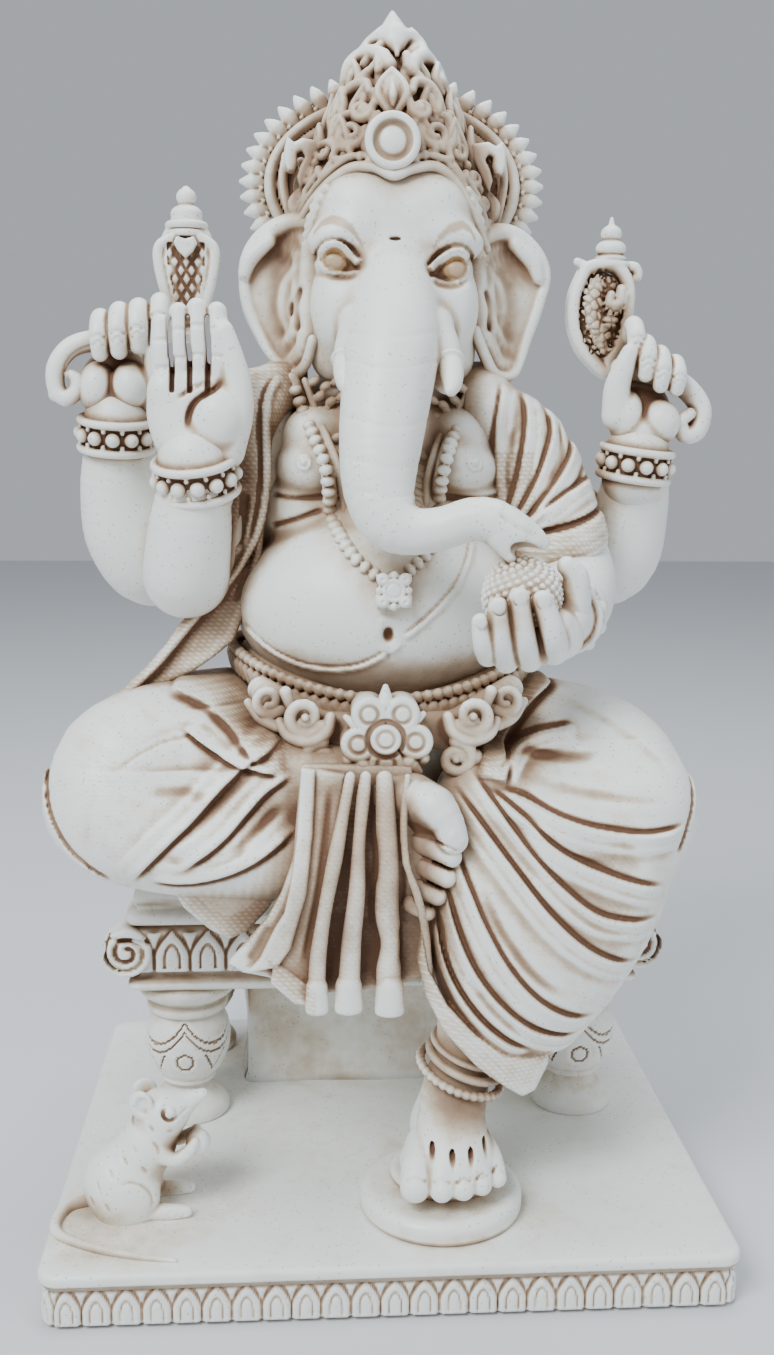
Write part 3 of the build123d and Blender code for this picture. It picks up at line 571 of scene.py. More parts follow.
def petal_frieze(pitch, bottom, height, rise=1.3):
    """Pointed petals side by side, each with an inverted U cut in it, and small tips between."""
    def relief(u, z):
        v = (z - bottom) / height
        across = np.abs((u + pitch / 2) % pitch - pitch / 2) / (pitch / 2)
        inside = (v > 0) & (v < 1)
        edge = 0.96 - 0.96 * np.clip((v - 0.35) / 0.65, 0, 1) ** 1.6
        petal = between(edge - across, -0.1, 0.2)
        tip = between(across - 0.5, -0.1, 0.25) * between(v - 0.55 - (1 - across), -0.1, 0.2)
        tip = tip * between(0.99 - v, 0, 0.1)
        arch = np.hypot(across / 0.42, np.clip(v - 0.3, 0, 1) / 0.36)
        groove = between(0.34 - np.abs(arch - 1), 0, 0.3) * (v < 0.75) * (v > 0.06)
        return inside * (rise * petal + 0.7 * rise * tip * (1 - petal) - 0.75 * groove * petal)
    return relief


def washed_shaded_band(piece, strength, bottom, top, soft_bottom, soft_top):
    """Darkens a swept piece brown between two heights: the wash, with painted shade in the recess there."""
    heights = vertex_vectors(piece, "vertices", "co")[:, 2] / MM
    number(piece, "valley", strength * between(heights - bottom, 0, soft_bottom)
           * between(top - heights, 0, soft_top))


def add_plinth():
    """The slab, with its petals swept as one wall and the band over them darkened: the wash, with painted
    shade under the top's lip.
    """
    low, high = box_mm("plinth")
    height = high[2] - low[2]
    petals = petal_frieze(10, 1.2, height - 7.4, 1.9)
    profile = [(-3.6, 0), (-2.8, 0.8), (-2.8, height - 6.4), (-1.3, height - 5.9), (-1.3, height - 4.6),
               (0, height - 3.8), (0, height - 1.6), (-0.5, height - 0.5), (-1.8, height)]
    piece = swept(("plinth", "plinth_petals"), polished, rectangle_outline("plinth", 8, 0.7), profile,
                  petals, 0.7)
    washed_shaded_band(piece, 1.8, height - 8, height - 3.6, 1.6, 1.4)


def add_foot_rest():
    """The round foot rest and the low step on it."""
    for node, count, foot, head in (
        ("foot_rest", 220, [(-0.8, -0.3), (0.2, 1)], [(0.3, -2.6), (-0.4, -1.2), (-2.2, 0)]),
        ("foot_rest_step", 160, [(-0.6, -0.3), (0.1, 0.7)], [(0, -1), (-1, 0)]),
    ):
        low, high = box_mm(node)
        (x, y, _), (radius_x, radius_y, _) = (low + high) / 2, (high - low) / 2
        profile = [(out, low[2] + z) for out, z in foot] + [(out, high[2] + z) for out, z in head]
        piece = swept((node,), polished, round_outline(x, y, radius_x, radius_y, count), profile)
        # painted shade with the wash: the foot rest darkened just above where it stands on the plinth
        bottom = low[2] - 0.3
        washed_shaded_band(piece, 2.4, bottom - 1, bottom + 2.4, 0.1, 2)


def add_stool():
    """The core, the four turned legs, the carved board, the cushion and the corner scrolls."""
    low, high = box_mm("stool_core")
    profile = [(0, low[2] - 0.5), (-1.5, low[2] + 4), (-2, (low[2] + high[2]) / 2), (0, high[2])]
    # the core under the seat is darkened all over as painted shade
    swept(("stool_core",), shade_darkened, rectangle_outline("stool_core", 6, 2.5), profile,
          lambda u, z: 0.5 * np.sin(u / 9 + z / 14), 2.5)

    def leg_relief(u, z):
        """Swags, a ring and slanting lines cut in the bulb of a leg."""
        h = z - bottom
        turn = np.abs((u + math.pi / 4) % (math.pi / 2) - math.pi / 4) * 17
        sag = 0.055 * (turn - 13) ** 2
        swags = (np.abs(h - 38 - sag + 4) < 0.65) | (np.abs(h - 34.5 - sag + 4) < 0.6)
        ring = np.abs(np.hypot(turn, h - 27) - 3.4) < 0.6
        slants = (np.abs(turn + (h - 30) * 0.6 - 8.5) < 0.5) & (h < 30) & (h > 20)
        return -0.8 * ((h > 17) & (h < 43)) * (swags | ring | slants)

    turned = [(15.5, -0.3), (16.5, 1), (16.6, 3), (15.8, 5), (13.5, 7.2), (10.5, 10.4), (9.2, 13),
              (9.2, 14.2), (11, 14.8), (11, 16), (10.6, 16.6), (13.2, 19.5), (15.6, 23.5), (17.2, 29),
              (17.4, 34), (16.6, 39), (14.6, 43.4), (14, 44.6), (15.6, 45.2), (16.4, 46.4), (16.4, 48),
              (15.6, 49), (14.6, 49.6), (15.4, 50.8), (17.8, 52), (19.6, 53.8), (20.4, 55.6), (20, 57.4),
              (18.6, 58.6), (17.5, 59.4)]
    for place in ("front_right", "front_left", "rear_right", "rear_left"):
        low, high = box_mm("stool_leg_" + place)
        bottom = low[2]
        x, y, _ = (low + high) / 2
        swept(("stool_leg_" + place,), draped, round_outline(x, y, 0.01, 0.01, 180),
              [(r, bottom + z) for r, z in turned], leg_relief, 0.6)

    z = box_mm("stool_board")[0][2]
    moulding = [(-6, 0), (-1, 0.3), (0.6, 1.5), (0.6, 3), (-1, 4.2), (-3.6, 5), (-4.4, 6.5), (-3.4, 7.6),
                (-1.8, 8.2), (-1.4, 16), (-1.6, 24), (-3, 25), (-5, 26), (-5.5, 27)]
    swept(("stool_board", "stool_petals"), ornate, rectangle_outline("stool_board", 4, 0.8),
          [(out, z + up) for out, up in moulding], petal_frieze(14, z + 8, 16.5, 1.6), 0.7)

    bottom = box_mm("stool_cushion")[0][2]
    moulding = [(-6, -1), (-3, -0.2), (-0.4, 0.8), (0.4, 2.6), (-0.2, 4.6), (-2.5, 5.6), (-4.4, 6.4),
                (-4, 8), (-3.2, 11), (-4, 14), (-7, 16)]
    swept(("stool_cushion",), draped, rectangle_outline("stool_cushion", 5, 1.2),
          [(out, bottom + up) for out, up in moulding],
          lambda u, v: 0.3 * np.sin(u / 6.5) * (v > bottom + 7))

    low, high = box_mm("stool_scrolls")
    middle, half = (low + high) / 2, (high[0] - low[0]) / 2
    clay = Clay((low[0] - 5, low[1] - 5, low[2] - 4), (high[0] + 5, high[1] + 4, high[2] + 4))
    for side in (-1, 1):
        x, z = middle[0] + side * (half - 10.5), middle[2]
        clay.disc((x, low[1], z), 9.8, high[1] - low[1], 1.2)
        spiral = []
        for i in range(32):
            turn, r = i * 0.4 + 2.4, 8.6 - i * 0.23
            spiral.append((x - side * r * math.cos(turn), z + r * math.sin(turn)))
        clay.stroke(spiral, 1.25, -1.9, deep=12, sharp=True, fade=0.04)
        clay.stroke([spiral[0], (x - side * 9, z + 4)], 1.2, -1.6, deep=12, sharp=True)
    cast(clay, ornate, "stool_scrolls")


# ---------------------------------------------------------------- mouse
def add_mouse():
    """The mouse on the plinth, holding a sweet, with its tail curled round in front."""
    low, high = box_mm("mouse")
    clay = Clay((low[0] - 14, -100, low[2] - 2), (high[0] + 8, high[1] + 6, high[2] + 6), STEP * 0.8)
    for spot, radii, turn in (
        ((-96, -61, 31), (13.5, 13, 14.5), (0, 12, 0)),
        ((-87, -60, 44), (10.5, 11, 14), (0, 24, 0)),
        ((-80, -60, 56), (8.5, 8.5, 8), (0, 0, 0)),
        ((-93, -68, 27), (11, 5.5, 9.5), (0, -15, 0)),
        ((-93, -54, 27), (11, 5.5, 9.5), (0, -15, 0)),
    ):
        clay.ball(spot, radii, turn, 5)
    clay.tube([(-82, -60, 57, 7.5), (-74, -60, 59.5, 4.6), (-67.5, -60, 62.5, 2.2)], 3)
    clay.ball((-66.5, -60, 63), 1.9, blend=0.6)
    for side in (-1, 1):
        y = -60 + side * 6.5
        clay.tube([(-84, y, 46, 3.4), (-77, y + side, 42, 2.6), (-71.5, y, 44.5, 2.2),
                   (-69.4, y - side * 1.6, 47, 1.8)], 1.5)
        clay.tube([(-86, y + side, 22.5, 3), (-78, y + side * 1.5, 22.3, 2.8),
                   (-72.5, y + side * 1.5, 22.2, 2.1)], 1.2)
        clay.ball((-88, y - side * 1.2, 61.8), (4.8, 1.8, 5.4), (0, 0, 20 * side), 0.6)
        clay.ball((-87.2, y + side * 0.6, 62), (2.9, 1.6, 3.4), (0, 0, 20 * side), 0.3, cut=True)
        clay.ball((-77.4, y + side * 0.4, 59.6), 1.7, blend=0.3)
        clay.hoop((-77.4, y + side * 0.9, 59.6), (0, 1, 0), 2.7, 0.9, 0.2, cut=True)
    clay.ball((-68.6, -60, 44.5), (4.6, 5.2, 4.4), blend=0.5)
    for line in ([(-74.6, 21), (-71.6, 23.4)], [(-76.8, 21), (-74, 23.8)], [(-79, 21.4), (-76.6, 24.4)],
                 [(-71.8, 46.8), (-69.4, 44.6)], [(-73.4, 45.6), (-71, 43.2)],
                 [(-70.6, 60.4), (-73.4, 59), (-76, 56.6)], [(-84.6, 51), (-82, 47.6), (-81.6, 44)],
                 [(-98, 34), (-92, 36.6), (-86.6, 34), (-84, 28.6), (-86, 23)], [(-91, 49), (-88.6, 45.6)],
                 [(-94.4, 45), (-92, 41.4)], [(-88, 42), (-85.6, 38.6)], [(-99, 41), (-97, 37)],
                 [(-103.6, 37), (-101.6, 33)], [(-106, 30.6), (-104, 27)], [(-100.4, 30), (-98.2, 26)],
                 [(-96, 53.4), (-93.6, 50)], [(-92.4, 57), (-90.6, 53.8)], [(-85, 56), (-83, 53.4)],
                 [(-79, 53.6), (-76.4, 52.4)]):
        clay.stroke(line, 1.0, -0.5, deep=44, fade=0.3)
    clay.tube([(-105, -56, 21.5, 2.6), (-116, -62, 21, 2.2), (-117, -76, 20.8, 1.9), (-104, -86, 20.7, 1.6),
               (-88, -92, 20.6, 1.3), (-74, -95, 20.5, 0.9)], 1)
    clay.keep(2, low[2] - 0.6)
    cast(clay, draped, "mouse")


# ---------------------------------------------------------------- the seated figure
def folds(clay, lines, width, height, deep):
    """Laps of cloth that fan out; each line runs outwards with the next lap on its left."""
    for line in lines:
        clay.lap(line, width, height, deep=deep)


def interpolate(value, line):
    """A line's second coordinate where its first one, which has to rise, is this value."""
    return np.interp(value, *zip(*line))


def add_torso():
    """The chest and belly with the navel, the creases and the thread across them, and the plain back."""
    clay = Clay((-72, -48, 188), (78, 78, 326))
    clay.tube([(1, 27, 196, 47), (1, 27, 222, 46), (1, 26, 250, 43), (1, 26, 284, 37), (1, 25, 300, 29),
               (2, 24, 314, 19.5)], 6)
    clay.tube([(-44, 30, 289, 19), (-24, 30, 294, 20), (3, 30, 295, 21), (30, 30, 294, 20),
               (50, 30, 289, 19)], 12)
    clay.ball((0.5, 6, 231), (56, 44, 38.5), blend=7)
    for side in (-1, 1):  # ribs, breasts, nipples, flanks and back
        clay.ball((2 + side * 33, 10, 268), (17, 17, 16), blend=6)
        clay.ball((2 + side * 27, 2, 284.5), (15.5, 15, 11.5), (0, side * 8, side * 12), 3)
        clay.ball((2 + side * 29, 4, 297), (11, 12, 9), (0, side * 24, 0), 5)
        clay.hoop((2 + side * 31.5, -12.2, 285.5), (side * 0.35, -1, 0.1), 2.5, 0.7, 0.3)
        clay.ball((2 + side * 31.5, -12.4, 285.5), 1.5, blend=0.4)
        clay.ball((2 + side * 48, 32, 262), (14, 24, 30), blend=8)
        clay.ball((1 + side * 20, 66, 240), (17, 12, 40), (6, 0, 0), 12)
    clay.stroke([(1, 205), (1, 250), (2, 300)], 7, -2.4, near=45, deep=40)  # the spine
    for line in ([(-43, 274), (-34, 272.4), (-24, 272.6), (-14, 274)],
                 [(46, 274), (37, 272.4), (27, 272.6), (17, 274)],
                 [(-43, 261.5), (-33, 264.5), (-22, 268.5)]):
        clay.stroke(line, 1.6, -1.3, deep=45, fade=0.12)
    clay.ball((0.3, -38.5, 224.6), (2.2, 4.6, 3.2), (14, 0, 0), 2.0, cut=True)
    clay.stroke([(-3.4, 228), (-1.8, 230.6), (1.4, 230.9), (3.6, 228.4)], 1.3, 0.6, fade=0.2)
    clay.stroke([(-3.4, 221), (0.4, 218.8), (3.6, 220.2), (4.8, 223)], 1.4, 0.8, fade=0.2)
    clay.stroke([(0.4, 220), (0.6, 216.6)], 0.8, -0.4, sharp=True)
    for thread in ([(33, 258), (30.4, 250.6), (25.6, 242), (19, 234.6), (12, 228.4), (5.6, 223.4)],
                   [(0.6, 218.6), (-5, 214.8), (-11, 212.2), (-19, 211), (-29, 211.6), (-38, 214.6),
                    (-46, 219.4), (-52, 225)]):
        clay.stroke(thread, 1.1, 1.0, deep=50, sharp=True, fade=0.05)
        clay.stroke([(x - 0.7, z + 1.3) for x, z in thread], 0.9, -0.45, deep=50, sharp=True, fade=0.05)
    clay.keep(2, 190)
    cast(clay, ivory, "torso")


def add_hips():
    """What sits on the stool: mostly hidden in front, with the dhoti's folds behind."""
    clay = Clay((-66, -40, 116), (68, 86, 206))
    clay.ball((1, 30, 152), (62, 50, 46))
    clay.tube([(-30, 30, 190, 24), (1, 32, 192, 30), (32, 30, 190, 24)], 10)
    for side in (-1, 1):
        clay.ball((1 + side * 24, 46, 148), (32, 32, 34), blend=8)
        for i in range(5):  # folds across the seat, each a ridge with a groove under it
            for down, width, height in ((0, 4.5, 1.5), (6, 2.4, -0.8)):
                fold = [(1 + side * out, top - down - drop * i)
                        for out, top, drop in ((3, 190, 13), (30, 178, 12), (60, 172, 11))]
                clay.stroke(fold, width, height, near=20, deep=70)
    clay.stroke([(1, 204), (1, 116)], 3, -2.4, near=55, deep=40)
    clay.keep(2, 120.5)
    # darkened all over as painted shade, for the hips lie deep in shade
    cast(clay, shade_darkened, "hips", weave=lambda x, y, z: 0 * x + 0.35)


def add_right_leg():
    """The figure's right leg, folded on the stool: the thigh and the shin, wrapped in the dhoti."""
    clay = Clay((-134, -78, 116), (22, 62, 216))
    clay.tube([(-26, 24, 168, 30), (-44, 16, 171, 31.5), (-62, 4, 172, 32.5), (-86, -18, 171, 32.5),
               (-98, -28, 167, 26)], 0, spacing=3)
    clay.tube([(-104, -36, 157, 14), (-94, -40, 154, 18), (-72, -42, 151, 19.5), (-40, -42, 146, 17),
               (-10, -44, 146, 13), (2, -46, 148, 9)], 14, spacing=3)
    clay.ball((-98, -28, 168), (24.5, 22, 29.5), (0, 12, -20), 6)
    clay.tube([(-12, -36, 172, 13), (-30, -36, 172, 15), (-46, -33, 172, 17), (-66, -28, 172, 18)], 12)
    clay.tube([(-99, -22, 141, 7), (-88, -28, 138, 7), (-76, -32, 137, 6)], 2)
    folds(clay, [
        [(-37, 178), (-46, 179), (-54, 181), (-63, 186), (-73, 193)],
        [(-38, 188), (-48, 182.5), (-57, 175), (-67, 165), (-76, 157), (-84, 149), (-92, 140)],
        [(-34, 178), (-43, 172), (-50, 165), (-57, 158), (-64, 152.5), (-74, 146)],
        [(-32, 160), (-41, 153), (-50, 147.5), (-60, 143.6), (-72, 141.4), (-84, 142)],
    ], 10, 2.6, deep=90)
    for line, height in (([(-60, 168), (-72, 172), (-86, 172)], -0.5),
                         ([(-44, 180), (-58, 170), (-73, 157)], -0.5),
                         ([(-36, 168), (-47, 158), (-57, 150)], -0.9),
                         ([(-52, 190), (-66, 192.5), (-82, 190), (-92, 184)], -0.35),
                         ([(-46, 156), (-58, 150), (-70, 148)], -0.7)):
        clay.stroke(line, 3.0, height, deep=90, fade=0.3)
    clay.stroke([(-62, 189), (-70, 189.6), (-79, 188.4), (-88, 184.6), (-95, 180)], 0.8, -0.4, deep=90,
                sharp=True, fade=0.1)
    clay.stroke([(-117, 190), (-121.5, 180), (-121, 167), (-115.5, 155), (-107, 146), (-97, 139)], 1.5,
                -1.3, deep=90, sharp=True, fade=0.1)
    sash = [(-77, 209), (-66, 204.6), (-58, 199.6), (-49, 192), (-42, 184)]
    clay.stroke(sash, 6.2, 1.8, deep=110, sharp=True, fade=0.04)
    for side in (-1, 1):
        clay.stroke([(x + side * 3.4, z + side * 6.4) for x, z in sash], 1.6, -0.8, deep=110, fade=0.15)
    clay.keep(2, 121)

    def cloth(x, y, z):
        return np.where((np.abs(z - interpolate(x, sash)) < 6) & (x > -77) & (x < -36), 1.0, 0.25)

    cast(clay, draped, "dhoti_right_thigh", "dhoti_right_shin", name="dhoti_right_leg_cast", weave=cloth)


def add_left_leg():
    """The figure's left leg, hanging to the foot rest, with the dhoti draped from knee to ankle."""
    clay = Clay((4, -96, 54), (124, 62, 216))
    clay.tube([(28, 24, 168, 30), (46, 16, 171, 31), (62, 4, 171, 31.5), (80, -16, 168, 31),
               (90, -30, 160, 26)], 0, spacing=3)
    clay.ball((88, -24, 164), (21, 22, 27), (0, -16, 30), 6)
    clay.tube([(86, -34, 156, 24), (78, -44, 132, 24), (66, -48, 108, 22), (52, -50, 88, 19),
               (40, -52, 72, 15)], 12, spacing=3)
    clay.tube([(36, -34, 164, 18), (34, -46, 140, 19), (36, -52, 116, 20), (38, -54, 98, 18),
               (38, -55, 88, 13)], 12, spacing=3)
    clay.tube([(60, -44, 150, 24), (54, -48, 122, 24), (48, -52, 98, 20)], 10, spacing=3)
    folds(clay, [
        [(38, 171), (48, 168.5), (60, 163.5), (74, 159), (90, 156.5), (108, 157.5)],
        [(34, 172), (46, 163.5), (56, 154.5), (68, 147.5), (82, 141.5), (99, 136)],
        [(28, 178), (38, 165), (48, 152), (60, 139.5), (72, 130.5), (86, 126.5), (97, 125.5)],
        [(22, 172), (31, 161), (42, 147), (54, 132), (66, 120.5), (78, 113), (90, 109)],
        [(20, 156), (26, 141), (32, 127), (40, 113), (50, 101.5), (62, 93.5), (74, 90)],
        [(18, 142), (22, 126), (28, 112), (37, 100), (48, 91), (60, 86), (70, 84.5)],
        [(15, 132), (17.5, 117), (22, 105), (30, 94), (40, 85.5), (50, 80.5)],
    ], 9, 2.7, deep=100)
    for line, height in (([(46, 176), (62, 172), (84, 169), (102, 168)], -0.5),
                         ([(60, 200), (76, 195), (92, 185), (104, 171)], -0.4),
                         ([(30, 142), (38, 126), (50, 110), (64, 100)], -0.9),
                         ([(40, 158), (54, 143), (70, 128), (84, 121)], -0.7),
                         ([(44, 164), (60, 152), (80, 146)], -0.8),
                         ([(44, 185), (54, 181), (66, 180.6), (80, 184)], -0.8),
                         ([(27, 110), (36, 98), (48, 87)], -1.2)):
        clay.stroke(line, 3.0, height, deep=100, fade=0.3)
    clay.lap([(40, 176), (48, 182), (57, 187), (70, 191)], 7, 2.2, deep=110)
    clay.stroke([(107, 187), (111.5, 176), (111, 166), (107.5, 156), (104, 147)], 1.3, -1.1, deep=100,
                sharp=True, fade=0.1)
    sash = [(64, 207), (54, 201), (46, 193), (40, 184), (37, 174)]
    clay.stroke(sash, 5.6, 1.9, deep=110, sharp=True, fade=0.04)
    for out, up, height in ((5.4, -3.2, -1.0), (-5.0, 3.2, -0.9)):
        clay.stroke([(x + out, z + up) for x, z in sash], 1.7, height, deep=110, fade=0.15)
    hem_top = [(11, 124), (13.5, 110), (20, 98), (30, 88), (40, 81), (50, 78.6), (57, 80.5)]
    hem_foot = [(9.5, 113), (12.6, 100), (19, 88), (30, 76.4), (40, 68.6), (47, 63.6), (52, 65), (57, 74)]
    x, z = clay.axes[0][:, None, None], clay.axes[2][None, None, :]
    clay.field = np.maximum(clay.field, (interpolate(x, hem_foot) + 4 - z) * 0.8)
    clay.sheet(hem_top + hem_foot[::-1], lambda a, b: -73.5 + 0.016 * (a - 36) ** 2 - 0.05 * (b - 90), 7,
               1.2, 0.6)
    clay.tube([(30, -52, 96, 10.5), (29, -54, 84, 10), (28, -54, 72, 9.5)], 0)

    def cloth(x, y, z):
        hem = (z < interpolate(x, hem_top)) & (z > interpolate(x, hem_foot) - 2) & (x < 58)
        band = np.abs(x - interpolate(z, [(b, a) for a, b in reversed(sash)])) < 5.4
        return np.where(hem | (band & (z > 174) & (z < 207)), 1.0, 0.2)

    cast(clay, draped, "dhoti_left_thigh", "dhoti_left_shin", "left_cuff", name="dhoti_left_leg_cast",
         weave=cloth)


def add_pleats():
    """The pleats that hang from the belt, and the woven hem below the folded shin."""
    clay = Clay((-92, -86, 84), (24, -24, 190), STEP * 0.85)

    def hang(out):
        """The front of cloth that hangs from the belt, this far behind the foremost pleats."""
        return lambda x, z: -57 - (180 - z) * 0.09 - 8 * np.exp(-(((z - 147) / 21) ** 2)) + out

    clay.tube([(-78, -36, 138, 4), (-62, -40, 130, 5), (-44, -44, 138, 7), (-28, -46, 142, 7)], 5)
    clay.sheet([(-31, 181), (8, 180), (12, 150), (15, 124), (15, 104), (4, 101), (-8, 99), (-26, 98),
                (-38, 103), (-38, 128), (-34, 150)], hang(7), 6, 1.5)
    clay.sheet([(-78, 140), (-73, 129), (-64, 120), (-57, 116), (-50, 119.5), (-43, 128), (-37, 138),
                (-33, 152), (-45, 147), (-60, 143)], lambda x, z: -55 + (146 - z) * 0.22, 5, 1.2)
    clay.sheet([(-34, 150), (-38, 138), (-43, 128), (-50, 119), (-57, 111), (-52, 107.6), (-42, 105.5),
                (-37, 116), (-33, 134)], hang(4.5), 5, 1.2)
    clay.sheet([(-31, 181), (-26, 180), (-27, 160), (-29.4, 138), (-35, 117), (-39.6, 110.5), (-50, 108.6),
                (-45.6, 114), (-41, 124), (-37, 131), (-34.6, 143), (-32.6, 158)], hang(1.2), 5, 1.2)
    clay.sheet([(-26, 180), (-15.6, 178), (-19, 154), (-23, 132), (-26, 112), (-27.4, 99.6), (-33, 101),
                (-40, 109.4), (-35.4, 117), (-30, 138), (-27.4, 160)], hang(3.4), 6, 1.2)
    for line in ([(-20.6, 176), (-23.4, 152), (-27, 128), (-31, 108)],
                 [(-42, 126), (-46, 118), (-50, 112)]):
        clay.stroke(line, 2.2, -1.0, deep=60, fade=0.15)
    for line in (
        [(-14, 178, 1.9), (-16.4, 166, 2.1), (-19.4, 151.5, 2.7), (-23, 132, 2.5), (-25.4, 113, 3.0),
         (-25.8, 99, 3.1)],
        [(-8.6, 178, 2.0), (-9.6, 170, 2.4), (-11.1, 157, 2.2), (-12, 138, 3.0), (-13.6, 119, 3.5),
         (-14.6, 99, 4.0)],
        [(-2, 177, 3.0), (-1.6, 162, 3.6), (-1, 148, 3.7), (-1.4, 132, 4.3), (0.4, 119, 3.7),
         (-0.4, 108, 4.4), (0, 98, 4.3)],
        [(6, 178, 1.2), (4.6, 166, 1.4), (5, 150, 1.3), (9, 138, 1.5), (12.2, 124, 1.6), (13.6, 106, 1.8)],
    ):
        rows = [(x, float(hang(r * 0.7)(x, z)), z, r) for x, z, r in line]
        clay.tube(rows, 0.7, flat=0.72)
        if line[0][0] < 5:  # a turned-up end
            x, y, z, r = rows[-1]
            clay.tube([(x, y - 0.5, z + 4.5, r + 0.7), (x, y - 0.5, z - 3.5, r + 1.0)], 0.1, flat=0.8)
            clay.sheet([(x - 9, z - 5.4), (x + 9, z - 5.4), (x + 9, z - 9), (x - 9, z - 9)], y - 9, 18, 0.2,
                       0, cut=True)
    for x, z, tilt in ((-5.6, 150, 0.4), (-6.2, 132, -0.4), (4.2, 140, 0.5), (3.4, 118, 0.3)):
        clay.stroke([(x, z + 9), (x + tilt, z), (x, z - 9)], 1.4, -0.7, deep=60, fade=0.3)
    clay.sheet([(-41, 112.5), (-27, 102.5), (-26.6, 96.4), (-33.6, 96.6), (-42, 104.4)], hang(2.2), 4, 0.9)

    def cloth(x, y, z):
        edge = interpolate(x, [(-80, 141), (-73, 129), (-64, 120), (-57, 116), (-50, 119.5), (-43, 128),
                               (-38, 137)])
        lower = (x < -38) & (z > edge - 2) & (z < edge + 9.5) & (y < -44)
        tip = (x > -43) & (x < -26) & (z < 113 - (x + 41) * 0.72)
        return np.where(lower | tip, 1.0, 0.3)

    cast(clay, draped, "front_pleats", "shin_hem", weave=cloth)


def add_left_foot():
    """The foot on its rest, with the gaps and the nails of its toes."""
    clay = Clay((-6, -94, 29), (52, -28, 86), STEP * 0.7)
    clay.tube([(29, -53, 88, 10.5), (27.5, -54, 74, 10.6), (25, -53, 60, 11.4), (22, -48, 46, 12)], 4)
    clay.ball((22, -44, 40), (12.5, 11, 9.5), blend=5)
    clay.tube([(24.5, -57, 62, 9), (22.5, -65, 50, 12.6), (21.5, -71, 42, 15)], 6, flat=0.72,
              face=(0, -0.5, 1))
    clay.ball((21.5, -70, 40.5), (18, 11, 7.5), (12, 0, 0), 4)
    toes = ((8, -82.4, 5.5, 0.6), (17, -84.6, 4.2, 0.2), (24.6, -83.8, 4.0, 0), (31.4, -81.2, 3.8, 0),
            (37.4, -77, 3.5, 0))
    for x, y, r, lift in toes:
        clay.tube([(x + (22 - x) * 0.24, y + 17, 44.6, r), (x + (22 - x) * 0.06, y + 5, 41.4 + lift, r),
                   (x, y, 37 + lift, r * 0.97)], 1.6)
        clay.stroke([(x - r * 0.55, 40.4 + lift), (x, 41.7 + lift), (x + r * 0.55, 40.4 + lift)], 0.7, -0.5,
                    deep=18, sharp=True)
    for (ax, ay, ar, _), (bx, by, br, _) in zip(toes, toes[1:]):
        x, y = (ax + ar + bx - br) / 2, (ay + by) / 2
        clay.tube([(x + (22 - x) * 0.2, y + 10, 50.4, 0.9), (x + (22 - x) * 0.04, y + 1, 46, 1.2),
                   (x, y - 4.6, 40, 1.2), (x, y - 5, 34, 1.1)], 0.5, cut=True)
    clay.keep(2, 31)
    cast(clay, ornate, "left_foot")


def add_anklet():
    """Two rings and a row of beads round the left ankle."""
    clay = Clay((2, -82, 46), (56, -28, 94), STEP * 0.6)
    shin = (0.36, -0.12, 1)
    clay.hoop((28.5, -53.5, 71), shin, 14, 1.6, 0.3)
    clay.hoop((28.7, -53.5, 75.4), shin, 12.8, 1.2, 0.3)
    beads = 34
    for i in range(beads):
        clay.ball(on_ring((26.6, -53.4, 66.4), shin, 15.6, i / beads), 1.75, blend=0.15)
    cast(clay, ornate, "left_anklet")


def add_right_foot():
    """The tucked foot, of which the toes and the side of the sole show beside the pleats."""
    clay = Clay((-6, -76, 122), (38, -30, 182), STEP * 0.7)
    clay.tube([(-2, -46, 168, 9), (8, -50, 168, 9.5), (15, -54, 165, 9)], 3)
    clay.tube([(9, -56, 170, 6), (15, -60, 168, 7.2), (19.5, -62, 162.6, 6), (21.5, -63.4, 157, 5.4)], 2.5)
    clay.ball((13, -52, 150), (9, 8, 17), (0, 10, 0), 4)
    for z, reach, r in ((151, 23.5, 4.2), (143.4, 22, 3.9), (136.6, 19, 3.5), (130.6, 15.6, 3.0)):
        clay.tube([(8, -55, z + 3.4, r), (reach - 8, -60.5, z + 2.0, r),
                   (reach - 2.5, -62.4, z - 0.6, r * 0.94)], 0.3)
        clay.stroke([(reach - 8, z + r + 1.6), (reach - 4, z + r + 0.2), (reach, z + r - 1.6)], 0.8, -0.8,
                    deep=22, sharp=True, fade=0.15)
    clay.ball((21.6, -67.6, 158.6), (2.6, 1.2, 3.2), (0, 0, 22), 0.3)
    cast(clay, ornate, "right_foot")


# ---------------------------------------------------------------- belt and necklace
def add_belt():
    """The belt: two bands with a row of beads and slanting scales over them."""

    def on_waist(turn, drop, out, thick):
        """A point of the belt, which sags in front and rises at the hips."""
        x, y = 1 + (57.5 + out) * math.sin(turn), 14 - (47.5 + out) * math.cos(turn)
        return (x, y, 212 - drop - 10 * max(math.cos(turn), 0) ** 1.6 + 5 * math.sin(turn) ** 2, thick)

    clay = Clay((-70, -60, 180), (72, 64, 232), STEP * 0.8)
    for drop, out, thick in ((5.4, -6.0, 5.0), (6.6, -0.6, 3.4)):
        clay.tube([on_waist(2 * math.pi * i / 60, drop, out, thick) for i in range(61)], 0.5, spacing=6)
    scales = 92
    for i in range(scales):  # each a bead with a slanting scale under it
        rows = []
        for step, drop, thick in ((0, 0.4, 2.2), (0.55, 4.6, 2.1), (1.2, 8.6, 1.2)):
            rows.append(on_waist(2 * math.pi * (i + 0.5 + step) / scales, drop, 1.5, thick))
        clay.ball(rows[0][:3], 2.2, blend=0.2)
        clay.tube(rows[1:], 0.2)
    cast(clay, ornate, "belt")


